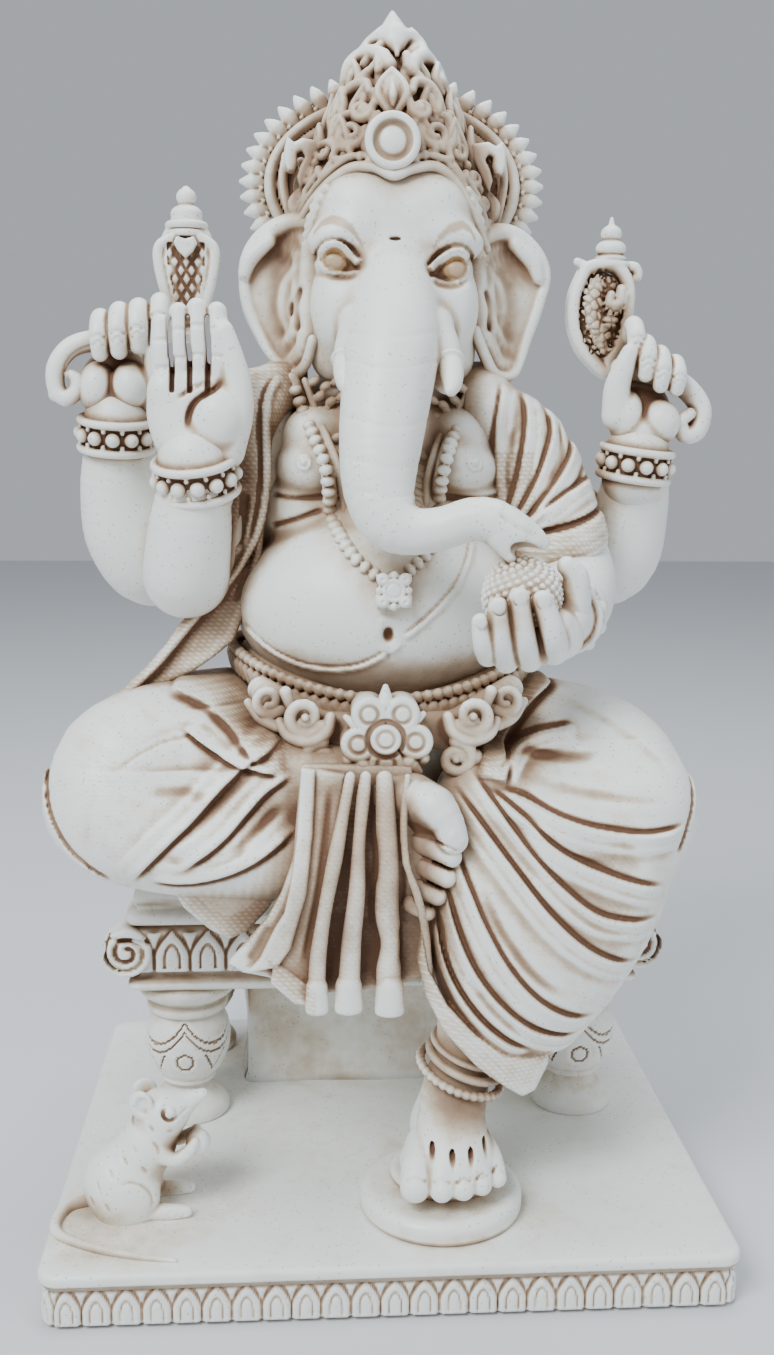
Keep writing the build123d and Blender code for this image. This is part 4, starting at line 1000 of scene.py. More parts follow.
def add_buckle():
    """The belt's flower-shaped buckle."""
    clay = Clay((-28, -62, 160), (30, -26, 216), STEP * 0.5)
    cx, cz, y = -1.2, 189.6, -50
    clay.disc((cx, y + 3, cz), 12, 12)
    petals = ((-7.0, 198.4), (4.6, 198.4), (9.4, 188.4), (-10.8, 187.6), (-1.0, 180.4))
    for x, z in petals:
        clay.disc((x, y, z), 6.4, 14, 1.6, 0.6)
    for x, z in petals:
        clay.hoop((x, y - 0.2, z), (0, 1, 0), 3.1, 0.95, 0.3, cut=True)
        clay.hoop((cx + (x - cx) * 0.62, y - 0.2, cz + (z - cz) * 0.62), (0, 1, 0), 0.6, 0.5, 0.2, cut=True)
    clay.hoop((cx, y, cz), (0, 1, 0), 6.5, 1.1, 0.3, cut=True)
    clay.disc((cx, y - 1.4, cz), 5.5, 12, 1.2, 0.3)
    clay.hoop((cx, y - 1.6, cz), (0, 1, 0), 3.1, 0.9, 0.3, cut=True)
    for x, z, turn, r in ((-1.2, 205.5, 90, 3.0), (10.4, 196.6, 40, 2.4), (-13.4, 195.6, 140, 2.4),
                          (9.4, 178.8, -40, 3.4), (-11.6, 178, -140, 3.4)):  # pointed leaves behind it
        along, up = math.cos(math.radians(turn)), math.sin(math.radians(turn))
        clay.tube([(x - 3 * along, y + 3, z - 3 * up, r), (x + 2.4 * along, y + 3.4, z + 2.4 * up, 1.1)],
                  0.4)
    for x, z in ((-8.4, 172.6), (6.4, 173), (-14.6, 181.6), (12.6, 182)):
        clay.ball((x, y + 4, z), (2.2, 3, 2.2), blend=0.4)
    cast(clay, ornate, "belt_buckle")


def add_belt_scrolls():
    """Scrolls on each side of the buckle."""
    clay = Clay((-56, -58, 172), (58, -18, 216), STEP * 0.6)
    for side in (-1, 1):
        def at(x, y, z, r=0):
            return (0.5 + side * x, y, z, r)

        def scroll(x, y, z, radius, turns, start, thick, way=1):
            rows = []
            for i in range(int(turns * 12) + 1):
                turn = start + way * 2 * math.pi * i / 12
                share = i / (turns * 12)
                r = radius * (1 - 0.72 * share)
                rows.append(at(x + r * math.cos(turn), y, z + r * math.sin(turn),
                               thick * (1 - 0.35 * share)))
            clay.tube(rows, 0.4, flat=0.8)

        clay.tube([at(16, -36, 190, 7), at(26, -35, 190, 8), at(38, -29, 197, 7), at(46, -24, 203, 5)], 2,
                  flat=0.5)
        scroll(30, -42, 196.4, 7.0, 1.3, -2.6, 2.5)
        clay.tube([at(21, -42, 196, 2.2), at(23, -43, 190.6, 2.4), at(29, -43, 187.6, 2.4),
                   at(36, -41, 189.4, 2.2), at(39, -39, 194, 1.8)], 0.4)
        scroll(43, -35, 201, 5.6, 1.2, -2.4, 2.1)
        clay.tube([at(37, -38, 204.6, 2.2), at(35.4, -38, 200.4, 2.0)], 0.4)
        clay.tube([at(40, -38, 192, 2), at(46, -33, 194, 2.0), at(50.6, -28, 199, 1.7)], 0.4)
        scroll(24, -43, 181, 6.4, 1.3, 1.6, 2.4, -1)
        clay.ball(at(30, -43.6, 196.4)[:3], 1.6, blend=0.3)
        clay.ball(at(24, -44, 181)[:3], 1.5, blend=0.3)
        clay.ball(at(31.6, -41, 181)[:3], (2.4, 3, 3), blend=0.6)
    cast(clay, ornate, "belt_scrolls")


def on_chest(x, z, out=0.0):
    """A point on the front of the chest and belly, moved out along Y."""
    belly = 99
    if abs(z - 231) < 38.5:
        belly = 6 - 44 * math.sqrt(max(1 - ((x - 0.5) / 56) ** 2 - ((z - 231) / 38.5) ** 2, 0))
    radius = float(interpolate(z, [(222, 46), (250, 43), (284, 37), (300, 29), (314, 19.5)]))
    spine = 26 - math.sqrt(max(radius**2 - (x - 1) ** 2, 9))
    bar = 30 - math.sqrt(max(20**2 - (z - 293) ** 2, 0))
    chest = 1 - 19 * math.sqrt(max(1 - ((abs(x - 2) - 28) / 19) ** 2 - ((z - 283) / 15) ** 2, 0))
    return min(belly, spine, bar, chest) - out


def add_necklace():
    """Two strings of beads over the chest, and the scaled collar at the neck."""
    right = [(-34, 316), (-30, 305), (-26, 295), (-22, 285), (-20.5, 275), (-19.5, 266.5), (-16.5, 259),
             (-11.5, 252), (-4, 246)]
    left = [(38, 314), (33, 305), (27, 297), (23, 289), (21, 280), (20.5, 271), (19, 262), (15, 254),
            (8, 248)]

    clay = Clay((-48, -54, 236), (52, 34, 326), STEP * 0.6)
    for side, line in ((-1, right), (1, left)):
        rows = smooth_curve([(x, on_chest(x, z, 1.0), z) for x, z in line], 1.0)
        travelled = 0.0
        for a, b in zip(rows, rows[1:]):
            travelled += float(np.linalg.norm(b - a))
            if travelled >= 3.8:
                travelled = 0.0
                lean = math.degrees(math.atan2(b[0] - a[0], a[2] - b[2]))
                clay.ball(b, (2.7, 2.5, 1.95), (0, -lean, 0), 0.2)
        inner = [(x - side * 5.0, z - 0.6) for x, z in line[:-3]]
        clay.tube([(x, on_chest(x, z, 0.6), z, 1.3) for x, z in inner], 0.3)
        clay.tube([(x - side * 0.4, on_chest(x, z, -1.6), z, 2.6) for x, z in line[:-1]], 1.0, flat=0.5)
        for row in range(3):  # scales of the collar
            for x, z in smooth_curve([(a, b, 0) for a, b in inner], 4.2)[:, :2]:
                a, b = x - side * (3.4 + 4.2 * row), z - 2.0 * (row % 2)
                if abs(a - 2) > 5 and b > 268:
                    clay.ball((a, on_chest(a, b, 0.3), b), (2.4, 1.6, 1.7), (0, side * 35, 0), 0.2)
    cast(clay, ornate, "necklace")


def add_pendant():
    """The square pendant at the end of the beads."""
    clay = Clay((-10, -56, 228), (14, -28, 256), STEP * 0.5)
    x, y, z = 1.8, -42.6, 241.6
    side = [(0, -7.6), (2.6, -6.0), (6.2, -6.2), (6.6, -2.6), (5.4, 1.6), (6.4, 5.6), (2.6, 5.0), (0, 6.6)]
    outline = [(x - a, z + b) for a, b in reversed(side[1:-1])] + [(x + a, z + b) for a, b in side]
    clay.sheet(outline, y, 12, 1.0, 0)
    for i in range(4):
        turn = math.radians(90 * i + 45)
        a, b = x + 5.6 * math.cos(turn), z + 5.6 * math.sin(turn)
        clay.ball((a, y - 0.4, b), (2.3, 1.6, 2.3), blend=0.3)
        clay.ball((a, y - 2.2, b), (0.8, 1.0, 0.8), blend=0.2, cut=True)
    for i in range(4):
        turn = math.radians(90 * i)
        clay.ball((x + 5.2 * math.cos(turn), y - 0.2, z + 5.6 * math.sin(turn)), (1.3, 1.2, 1.3), blend=0.3)
    clay.disc((x, y - 1.4, z), 4.2, 6, 0.7, 0.2)
    clay.hoop((x, y - 1.6, z), (0, 1, 0), 2.6, 0.62, 0.2, cut=True)
    cast(clay, ornate, "necklace_pendant")


# ---------------------------------------------------------------- arms, hands and what they hold
def add_arms():
    """Four arms, each from inside the shoulder to the wrist."""
    limbs = (
        ("right_rear_arm", (-124, 0, 214), (-38, 62, 314),
         [(-40, 46, 290, 16), (-68, 38, 268, 16.5), (-87, 29, 246, 17.5), (-97, 23, 256, 17.5),
          (-101, 18, 274, 14.5), (-101, 14, 290, 12), (-101, 12, 298, 11)]),
        ("right_front_arm", (-100, -40, 214), (-34, 30, 318),
         [(-42, 16, 296, 15), (-60, 6, 268, 16), (-72, -4, 246, 16), (-73, -10, 246, 16),
          (-71, -15, 262, 15), (-69, -18, 276, 13), (-68, -20, 284, 12.5)]),
        ("left_rear_arm", (38, 0, 214), (124, 62, 314),
         [(44, 46, 290, 15), (74, 40, 268, 16), (90, 33, 246, 17), (98, 28, 250, 16.5),
          (101, 22, 268, 14.5), (101, 15, 282, 12.5), (101, 12, 290, 11.5)]),
        ("left_front_arm", (38, -68, 206), (98, 30, 318),
         [(46, 16, 294, 16), (62, 6, 268, 17), (71, -6, 246, 16.5), (69, -22, 236, 15.5),
          (63, -38, 232, 12.5), (60, -50, 232, 10.5)]),
    )
    for node, low, high, line in limbs:
        clay = Clay(low, high)
        clay.tube(line, 0, spacing=3)
        cast(clay, ivory, node)


def on_ring(centre, axis, radius, turn):
    """A point on a ring round an axis, at this share of a whole turn."""
    turn = 2 * math.pi * turn
    spin = Vector(axis).normalized().to_track_quat("Z", "Y")
    return Vector(centre) + spin @ Vector((radius * math.cos(turn), radius * math.sin(turn), 0))


def bracelet(clay, centre, axis, radius, wide, beads):
    """A cuff with a rim at each end and a row of round beads between."""
    up = Vector(axis).normalized()
    centre = Vector(centre)
    a, b = centre - up * wide / 2, centre + up * wide / 2
    clay.tube([(*a, radius - 1.2), (*b, radius - 1.2)], 0)
    for end in (a, b):
        clay.hoop(end, axis, radius, 1.6, 0.3)
    for i in range(beads):
        clay.ball(on_ring(centre, axis, radius, (i + 0.5) / beads), 2.7, blend=0.2)
        for lift in (-0.27, 0.27):
            clay.ball(on_ring(centre + up * (wide * lift), axis, radius, (i + 1) / beads), 1.0, blend=0.2)


def add_bracelets():
    """The cuffs at the four wrists; the left front one is a piece of its own."""
    clay = Clay((-122, -46, 260), (122, 36, 312), STEP * 0.75)
    bracelet(clay, (-100.5, 12, 295.5), (0.06, -0.2, 1), 13.3, 10.5, 12)
    bracelet(clay, (-68.3, -19, 280.5), (-0.1, -0.34, 1), 14.2, 11.5, 13)
    bracelet(clay, (99.5, 12, 285.5), (0.12, -0.1, 1), 13.3, 10.5, 12)
    cast(clay, ornate, "bracelets")
    clay = Clay((40, -68, 214), (80, -26, 250), STEP * 0.75)
    bracelet(clay, (63, -43, 232.5), (-0.35, -1, 0), 12.2, 8, 11)
    cast(clay, ornate, "bracelets", name="bracelet_left_front_cast")


def add_raised_palm():
    """The figure's right front hand, raised with the palm to the front."""
    clay = Clay((-92, -42, 270), (-42, -2, 350), STEP * 0.7)
    clay.tube([(-68, -20, 272, 11), (-68, -20, 288, 12)], 0)
    clay.ball((-68.5, -19, 304), (15.8, 7.6, 17.5), blend=6)
    clay.ball((-76, -20, 300), (8, 7.5, 14), (0, -8, 0), 5)
    clay.ball((-60.5, -23.5, 301), (8.2, 7, 10.8), (0, 14, 0), 2.5)
    clay.ball((-78.5, -21.5, 311), (6, 5.5, 7), blend=3)
    fingers = (
        [(-78.5, 309, 4.2), (-79.6, 322, 3.9), (-79.8, 333.6, 3.3)],
        [(-73, 312, 4.3), (-73.3, 326, 4.0), (-73.5, 337.6, 3.4)],
        [(-66.4, 313, 4.4), (-66.6, 328, 4.1), (-67.0, 339.2, 3.5)],
        [(-60.2, 313, 4.3), (-59.6, 327, 4.0), (-60.0, 338, 3.4)],
    )
    for (ax, az, ar), (bx, bz, br), (cx, cz, cr) in fingers:
        clay.tube([(ax, -19.5, az, ar), (bx, -21, bz, br), (cx, -20, cz, cr)], 0.4)
        for lift in (0.36, 0.74):
            x, z = bx + (cx - bx) * (lift * 2 - 1), az + (cz - az) * lift
            clay.stroke([(x - 3, z), (x, z + 0.5), (x + 3, z + 0.2)], 0.9, -0.6, deep=24, sharp=True,
                        fade=0.2)
    for finger, following in zip(fingers, fingers[1:]):  # the gaps
        root, middle, tip = ((p[0] + q[0]) / 2 for p, q in zip(finger, following))
        clay.stroke([(root, 309), (root + 0.1, 318), (middle, 326), (tip, 337)], 1.0, -2.6, deep=24,
                    sharp=True, fade=0.06)
    clay.tube([(-58, -20, 290, 7.5), (-53.8, -21, 303, 6.4), (-53.2, -21.5, 313, 5.2),
               (-55.2, -22, 323, 4.3), (-57.4, -22.4, 331, 3.5)], 2.0)
    clay.ball((-60.6, -25, 299.5), (8.4, 6.4, 10.4), (0, 16, 0), 1.6)
    clay.stroke([(-70.4, 296), (-70.2, 301), (-68.4, 305.6), (-64.4, 309), (-60, 311.6), (-59.2, 316)], 1.7,
                -1.7, deep=24, fade=0.3)
    clay.stroke([(-66, 307.4), (-62, 310), (-60.2, 314)], 2.6, -0.9, deep=24, fade=0.3)
    clay.stroke([(-75, 306.6), (-70, 310.4), (-65, 312.6), (-60.4, 313.4)], 1.0, -0.9, deep=24, sharp=True,
                fade=0.3)
    cast(clay, ornate, "right_front_hand")


def gripping_hand(clay, palm, fingers, thumb, wrist):
    """A fist seen from the palm side: two pads under a row of curled fingers."""
    clay.tube(wrist, 0)
    for spot, radii, turn in palm:
        clay.ball(spot, radii, turn, 1.0)
    for x, y, top, length, r, lean in fingers:
        clay.tube([(x + lean * 0.4, y + 9, top - 3, r), (x + lean * 0.2, y + 4, top + 0.4, r),
                   (x, y, top - 2.4, r), (x - lean * 0.5, y - 1.6, top - length * 0.55, r),
                   (x - lean, y - 0.4, top - length, r * 0.85)], 0.5)
        a, joint = x - lean * 0.6, top - length * 0.62
        clay.stroke([(a - 2, joint + 0.6), (a, joint + 1.4), (a + 2, joint + 0.6)], 0.9, -0.6, deep=20,
                    sharp=True)
        a, nail = x - lean, top - length * 0.8
        clay.stroke([(a - 1.7, nail), (a, top - length * 0.66), (a + 1.7, nail)], 0.7, -0.5, deep=20,
                    sharp=True)
    clay.tube(thumb, 1.2)


def add_rear_hands():
    """The two rear hands, closed round the rods."""
    clay = Clay((-120, -16, 284), (-72, 42, 352), STEP * 0.7)
    gripping_hand(
        clay,
        (((-106.5, 9, 312.5), (7.2, 9, 9.8), (0, 4, 0)), ((-94, 8, 313), (7.8, 9.5, 9.0), (0, 0, 0)),
         ((-100, 18, 316), (14, 9, 12), (0, 0, 0))),
        ((-104.4, 3, 337.2, 12.5, 3.7, 0), (-97.3, 2, 339.6, 14, 3.8, 0), (-90.2, 2, 341, 13.5, 3.8, 0),
         (-82.6, 4, 343.4, 9, 3.6, 0)),
        [(-88, 10, 308, 5), (-85, 6, 318, 4.4), (-85.5, 4, 325, 3.6)],
        [(-101, 12, 290, 10.5), (-100, 12, 304, 11)])
    cast(clay, ornate, "right_rear_hand")
    clay = Clay((80, -16, 276), (126, 42, 346), STEP * 0.7)
    gripping_hand(
        clay,
        (((94.6, 10, 303.5), (6.6, 9, 10), (0, 6, 0)), ((107.5, 9, 301.5), (8, 9.4, 8.6), (0, 0, 0)),
         ((101, 18, 306), (13, 9, 12), (0, 0, 0))),
        ((96.4, 6, 337.4, 9.5, 3.5, 0), (100.8, 4, 330.6, 11.5, 3.5, 0.6),
         (106.5, 4, 326.6, 11.5, 3.5, 0.4), (112.8, 5, 323.4, 9.5, 3.4, 0.2)),
        [(91, 8, 304, 6.2), (90, 6, 314, 5), (92, 4, 322, 4), (93.6, 3, 327, 3.2)],
        [(100, 12, 280, 10.5), (101, 12, 296, 11)])
    cast(clay, ornate, "left_rear_hand")


def add_right_attribute():
    """The lattice-sided finial held in the right rear hand, and the curled end of its rod."""
    clay = Clay((-132, -8, 300), (-52, 44, 390), STEP * 0.6)
    clay.tube([(-80, 14, 334, 4.2), (-94, 12, 331, 4.4), (-107, 10, 329.8, 4.0), (-116, 9, 327, 3.8),
               (-121.4, 8, 320, 3.6), (-121.6, 8, 312, 3.4), (-118, 7, 308.6, 3.2), (-114, 6, 311, 2.9),
               (-113.6, 6, 315.6, 2.5), (-116.6, 6, 317, 2.0)], 0.5)
    clay.stroke([(-100, 329), (-112, 325.5), (-117.2, 320), (-117.4, 314)], 1.2, -1.2, deep=14, sharp=True)
    clay.ball((-122.4, 8, 309.6), 2.3, blend=0.6)
    x, y = -73.4, 22
    clay.tube([(x, y, 336, 6), (x, y, 350, 9.4), (x, y, 360, 11), (x, y, 366, 10)], 0, flat=0.7)
    clay.tube([(x, y - 4, 336, 3), (x, y - 6.4, 350, 6), (x + 0.5, y - 7.6, 360, 7.4),
               (x, y - 6.6, 364, 6)], 0.2, cut=True, flat=0.25)
    clay.tube([(x, y - 1, 336, 2.6), (x, y - 2.4, 350, 5.4), (x, y - 3.2, 360, 6.6),
               (x, y - 2.6, 364, 5.4)], 0.2, flat=0.5)
    for side in (-1, 1):
        clay.tube([(x + side * 4.6, y - 3, 338, 1.7), (x + side * 8, y - 4, 348, 1.9),
                   (x + side * 10.2, y - 4, 358, 2.1), (x + side * 10, y - 4, 365, 2.1),
                   (x + side * 5, y - 4.6, 368.6, 1.9)], 0.4)

    def lattice(a, b, c):
        """Slanting lines both ways, sunk between the two ribs."""
        lines, pitch = 0, 3.4
        for lean in (-1, 1):
            across = (a - x) * 0.84 + lean * (c - 350) * 0.54
            away = np.abs(across - pitch * np.round(across / pitch))
            lines = np.maximum(lines, between(0.95 - away, 0, 0.6))
        half_width = interpolate(c, [(336, 2.6), (350, 5.4), (360, 7.0)])
        return -1.2 * lines * (np.abs(a - x) < half_width) + 0 * b

    clay.press((x - 8, y - 12, 336), (x + 8, y - 1, 366), lattice)
    clay.sheet([(x, 360.4), (x + 2.8, 363), (x + 4.4, 366), (x + 3.2, 368.4), (x, 367.4), (x - 3.2, 368.4),
                (x - 4.4, 366), (x - 2.8, 363)], y - 9.2, 7, 0.9, 0.3)
    for z, r, thick in ((370, 6.6, 1.5), (373.2, 6.9, 1.5)):
        clay.tube([(x, y, z, r - 0.6), (x, y, z + 0.4, r - 0.6)], 0.2, spacing=1)
        clay.hoop((x, y, z), (0, 0, 1), r - 0.2, thick, 0.2)
    clay.ball((x, y, 377.4), (6, 6, 3.6), blend=0.3)
    clay.tube([(x, y, 379, 3), (x, y, 382, 2.6)], 0.6)
    clay.ball((x, y, 383.6), (3.8, 3.8, 3.4), blend=0.3)
    clay.ball((x, y, 386.4), (1.6, 1.6, 1.4), blend=0.5)
    cast(clay, ornate, "right_goad")


def add_left_attribute():
    """The leaf-shaped finial held in the left rear hand, and the curled end of its rod."""
    clay = Clay((66, -8, 288), (136, 44, 384), STEP * 0.6)
    clay.tube([(93, 14, 322, 4), (106, 13, 320, 4.4), (117, 12, 315.5, 4.4), (124, 11, 307, 4.2),
               (122.6, 10, 298.6, 4.0), (117.6, 9, 297, 3.4), (115.6, 8, 301.6, 2.8), (119, 8, 304.6, 2.4)],
               0.5)
    clay.stroke([(108, 318), (117, 312.6), (120.6, 306.4)], 1.2, -1.1, deep=14, sharp=True)
    leaf = [(80, 360), (76, 350), (75.6, 340), (78.6, 331), (84, 324.6), (89.4, 320.6), (90.4, 326),
            (95, 334), (96.6, 344), (96.4, 354), (92, 360.6), (85.6, 361.4)]
    y = 24
    clay.tube([(86, y, 350, 9), (85.6, y, 340, 9), (88, y, 328, 5)], 0, flat=0.35)
    for out in (-2.5, 2.5):
        clay.tube([(a, y + out, b, 2.5) for a, b in leaf + leaf[:1]], 0.4)
    clay.tube([(95, y - 4, 350, 2.0), (93, y - 4.4, 344.6, 2.0), (88.6, y - 4.4, 345.4, 1.9),
               (89, y - 4.6, 349.4, 1.7), (91.2, y - 4.6, 348.6, 1.4)], 0.3)
    clay.ball((89.6, y - 4.2, 340.4), (3, 2, 3.2), blend=0.4)
    spread = np.random.default_rng(7)
    seeds = [(77 + 19 * spread.random(), 324 + 36 * spread.random()) for _ in range(110)]
    clay.tube([(84, y - 2.4, 354, 4.4), (83.4, y - 2.4, 344, 5.4), (86, y - 2.4, 334, 4.6),
               (88.6, y - 2.2, 328, 2.6)], 0.2, flat=0.4)

    def cobbles(a, b, c):
        """Cracks where a point is as near to one seed as to the next."""
        away = np.sort(np.stack([np.hypot(a - p, c - q) + 0 * b for p, q in seeds]), axis=0)
        crack = between(0.9 - (away[1] - away[0]), 0, 0.8)
        return -1.2 * crack * (((a - 86) / 8.6) ** 2 + ((c - 343) / 17) ** 2 < 1)

    clay.press((76, y - 8, 324), (97, y - 1, 361), cobbles)
    clay.tube([(93.4, y - 4.6, 352, 2.0), (92.4, y - 5, 346.6, 2.0), (88.8, y - 5, 346.8, 1.8),
               (89.4, y - 5, 350, 1.6)], 0.3)
    x = 89.8
    clay.ball((x, y, 361.6), (8, 5.5, 2.2), blend=0.6)
    clay.ball((x, y, 364), (6.2, 5, 1.6), blend=0.3)
    clay.ball((x, y, 367.6), (5.9, 5.4, 3.6), blend=0.3)
    clay.ball((x, y, 373.2), (4.1, 4.1, 3.3), blend=0.3)
    clay.tube([(x, y, 375.6, 1.5), (x, y, 379, 0.7)], 0.6)
    clay.tube([(95, y, 361, 2.2), (99.6, y, 360.6, 2.2), (100.6, y, 357.4, 1.9), (98, y, 356, 1.7)], 0.4)
    clay.tube([(81, y, 360.4, 2.2), (76.8, y, 362.6, 1.6)], 0.4)
    cast(clay, ornate, "left_noose")


def add_offering_hand():
    """The figure's left front hand, cupped in front of the belly with a round sweet in it."""
    clay = Clay((20, -80, 208), (78, -28, 262), STEP * 0.7)
    clay.tube([(62, -44, 232, 10.5), (56, -54, 229, 10.5)], 0)
    clay.ball((49, -54, 226), (14, 12, 9.5), (0, -8, 0), 4)
    fingers = (
        [(56, 222, 4.4), (54, 231, 4.2), (49.5, 241, 3.7)],
        [(47.5, 219.5, 4.3), (44, 230, 4.1), (41.6, 242, 3.6)],
        [(39.5, 219, 4.2), (36.4, 229, 3.9), (34.6, 239, 3.4)],
        [(33, 221, 3.9), (30.2, 228, 3.5), (28.8, 234, 3.0)],
    )
    for (ax, az, ar), (bx, bz, br), (cx, cz, cr) in fingers:
        clay.tube([(ax, -60, az, ar), (bx, -68.6, bz - 2, br), (cx, -70.6, cz, cr)], 0.8)
        clay.ball((cx, -73.8, cz + 0.2), (cr * 0.7, 1.0, cr * 0.85), (10, 0, 0), 0.2)
        clay.hoop((cx, -73.6, cz + 0.3), (0, 1, 0.1), cr * 0.74, 0.35, 0.1, cut=True)
    clay.tube([(62, -50, 233, 8), (64, -54, 241, 5.4), (63.4, -56, 248, 4.4), (60, -57, 251.5, 3.4)], 2.5)
    clay.tube([(60, -58, 226, 6), (57, -62, 232, 4.6)], 2.5)
    cast(clay, ornate, "left_front_hand")


def add_sweet():
    """The round sweet, covered in small seeds where it shows."""
    clay = Clay((26, -76, 224), (64, -36, 264), STEP * 0.5)
    middle, radius, count = Vector((45, -56, 241)), 13.2, 300
    clay.ball(middle, radius, blend=0)
    for i in range(count):
        height = 1 - 2 * (i + 0.5) / count
        turn = i * GOLDEN_ANGLE
        flat = math.sqrt(1 - height * height)
        aim = Vector((flat * math.cos(turn), flat * math.sin(turn), height))
        if aim.y < 0.35 and aim.z > -0.55:
            clay.ball(middle + aim * radius, 1.12, blend=0.15)
    cast(clay, ornate, "sweet")


# ---------------------------------------------------------------- shawl
def add_right_shawl():
    """The shawl over the figure's right shoulder, which runs down the arm to the thigh."""
    clay = Clay((-118, -34, 190), (-28, 60, 328))

    def drape(x, z):
        """The front of the shawl: over the shoulder, down the chest and back to the thigh."""
        hang = interpolate(z, [(193, -22), (205, -17), (216, -13), (235, -9), (250, -10), (270, -11),
                               (290, -11), (305, -7), (318, 2)])
        return hang + 0.012 * (x + 50) ** 2 * (z > 250)

    clay.sheet([(-35, 320), (-40.6, 313), (-42.2, 300), (-41.8, 280), (-44.2, 264), (-49, 251), (-57, 240),
                (-68, 228.5), (-84, 209.5), (-97, 198), (-105, 191), (-105, 196), (-98, 202), (-90, 209.6),
                (-82.4, 218), (-77, 226), (-71, 233), (-64, 243), (-60, 256), (-62, 272), (-62, 290),
                (-59, 306), (-50, 320)], drape, 7, 1.8, 0)
    clay.sheet([(-44, 266), (-49, 252), (-57, 241), (-68, 229), (-80, 215), (-92, 204), (-98, 197),
                (-90, 200), (-80.3, 204), (-71, 208), (-63.6, 213), (-56, 219), (-51, 232), (-46, 246)],
                lambda x, z: drape(x, z) + 3.4, 7, 1.8, 0.4)
    clay.tube([(-34, 26, 314, 10), (-38, 12, 314, 10), (-44, 2, 306, 8), (-50, 0, 292, 7)], 4)
    clay.tube([(-36, 40, 300, 10), (-48, 46, 268, 10), (-48, 52, 240, 9), (-44, 54, 216, 8)], 4, flat=0.5)
    edge = [(-37, 318), (-42, 311), (-43.6, 300), (-43.2, 281), (-45.6, 264.6), (-50.4, 252), (-58.4, 241),
            (-69.4, 229.6), (-85, 211), (-98, 199)]
    clay.stroke(edge, 1.7, 1.3, deep=46, sharp=True, fade=0.04)
    clay.stroke([(x - 2.4, z - 0.6) for x, z in edge], 1.2, -0.8, deep=46, sharp=True, fade=0.04)
    for shift, depth in ((3.6, -1.0), (6.4, -1.2)):
        clay.stroke([(x - shift * 0.7, z + shift * 0.55) for x, z in edge[5:]], 1.3, depth, deep=46,
                    fade=0.15)
    clay.stroke([(-51.4, 276), (-51.8, 268), (-53, 260), (-54, 253)], 2.0, -2.2, deep=46, sharp=True,
                fade=0.2)
    clay.stroke([(-47, 262), (-51, 246), (-56, 232)], 2.2, -1.4, deep=46, fade=0.25)
    cast(clay, netted, "right_shawl", weave=lambda x, y, z: 0 * x + 1.0)


def add_left_shawl():
    """The shawl over the figure's left shoulder and upper arm, gathered in folds."""
    clay = Clay((30, -36, 238), (100, 66, 326))
    clay.tube([(38, 12, 304, 15), (52, 10, 292, 18), (62, 6, 274, 18.5), (67, -2, 258, 18),
               (69, -8, 250, 17)], 0, spacing=3)
    clay.tube([(34, 30, 312, 12), (38, 10, 314, 9), (41, 0, 304, 8)], 6)
    clay.tube([(34, 44, 300, 10), (46, 50, 280, 12), (56, 48, 262, 12)], 6)
    folds(clay, [
        [(45, 258.6), (54, 259), (64, 260.5), (74, 263.5), (84, 268)],
        [(48, 260), (56, 266), (64, 271.6), (73, 277), (81, 280)],
        [(50, 261), (58, 270), (65, 279), (71, 288), (74, 296)],
        [(49, 263), (56, 276), (61, 288), (64, 298), (63, 308)],
        [(47, 265), (49.6, 274), (52, 286), (54, 300), (54, 313)],
        [(45.6, 264), (43.4, 275), (42.4, 288), (42.6, 302), (45.6, 316)],
    ], 8, 2.3, deep=56)
    for line in ([(66, 302), (67, 290), (60, 276)], [(48, 300), (47, 284), (47.6, 272)],
                 [(78, 288), (70, 276), (58, 267)]):
        clay.stroke(line, 2.2, -0.9, deep=46, fade=0.25)
    floor = interpolate(clay.axes[0], [(40, 249.5), (50, 247.5), (62, 248), (76, 251.5), (86, 256.5)])
    clay.field = np.maximum(clay.field, (floor[:, None, None] - clay.axes[2]) * 0.9)
    hem = [(40, 256), (50, 254), (62, 255), (76, 259), (86, 264)]
    clay.stroke(hem, 5.2, 0.9, deep=46, sharp=True)
    clay.stroke([(40, 262.5), (50, 260.5), (62, 261.5), (76, 266), (86, 271)], 1.2, -1.1, deep=46,
                sharp=True)

    def cloth(x, y, z):
        near_hem = np.abs(z - interpolate(x, hem)) < 5.6
        return np.where(near_hem | ((x < 56) & (z < 290) & (z > 268)), 1.0, 0.15)

    cast(clay, netted, "left_shawl", weave=cloth)


# ---------------------------------------------------------------- head
HEAD_X = 4  # the middle of the head and the ears
FACE = dict(near=-44, deep=60)  # where strokes on the face reach, clear of the trunk


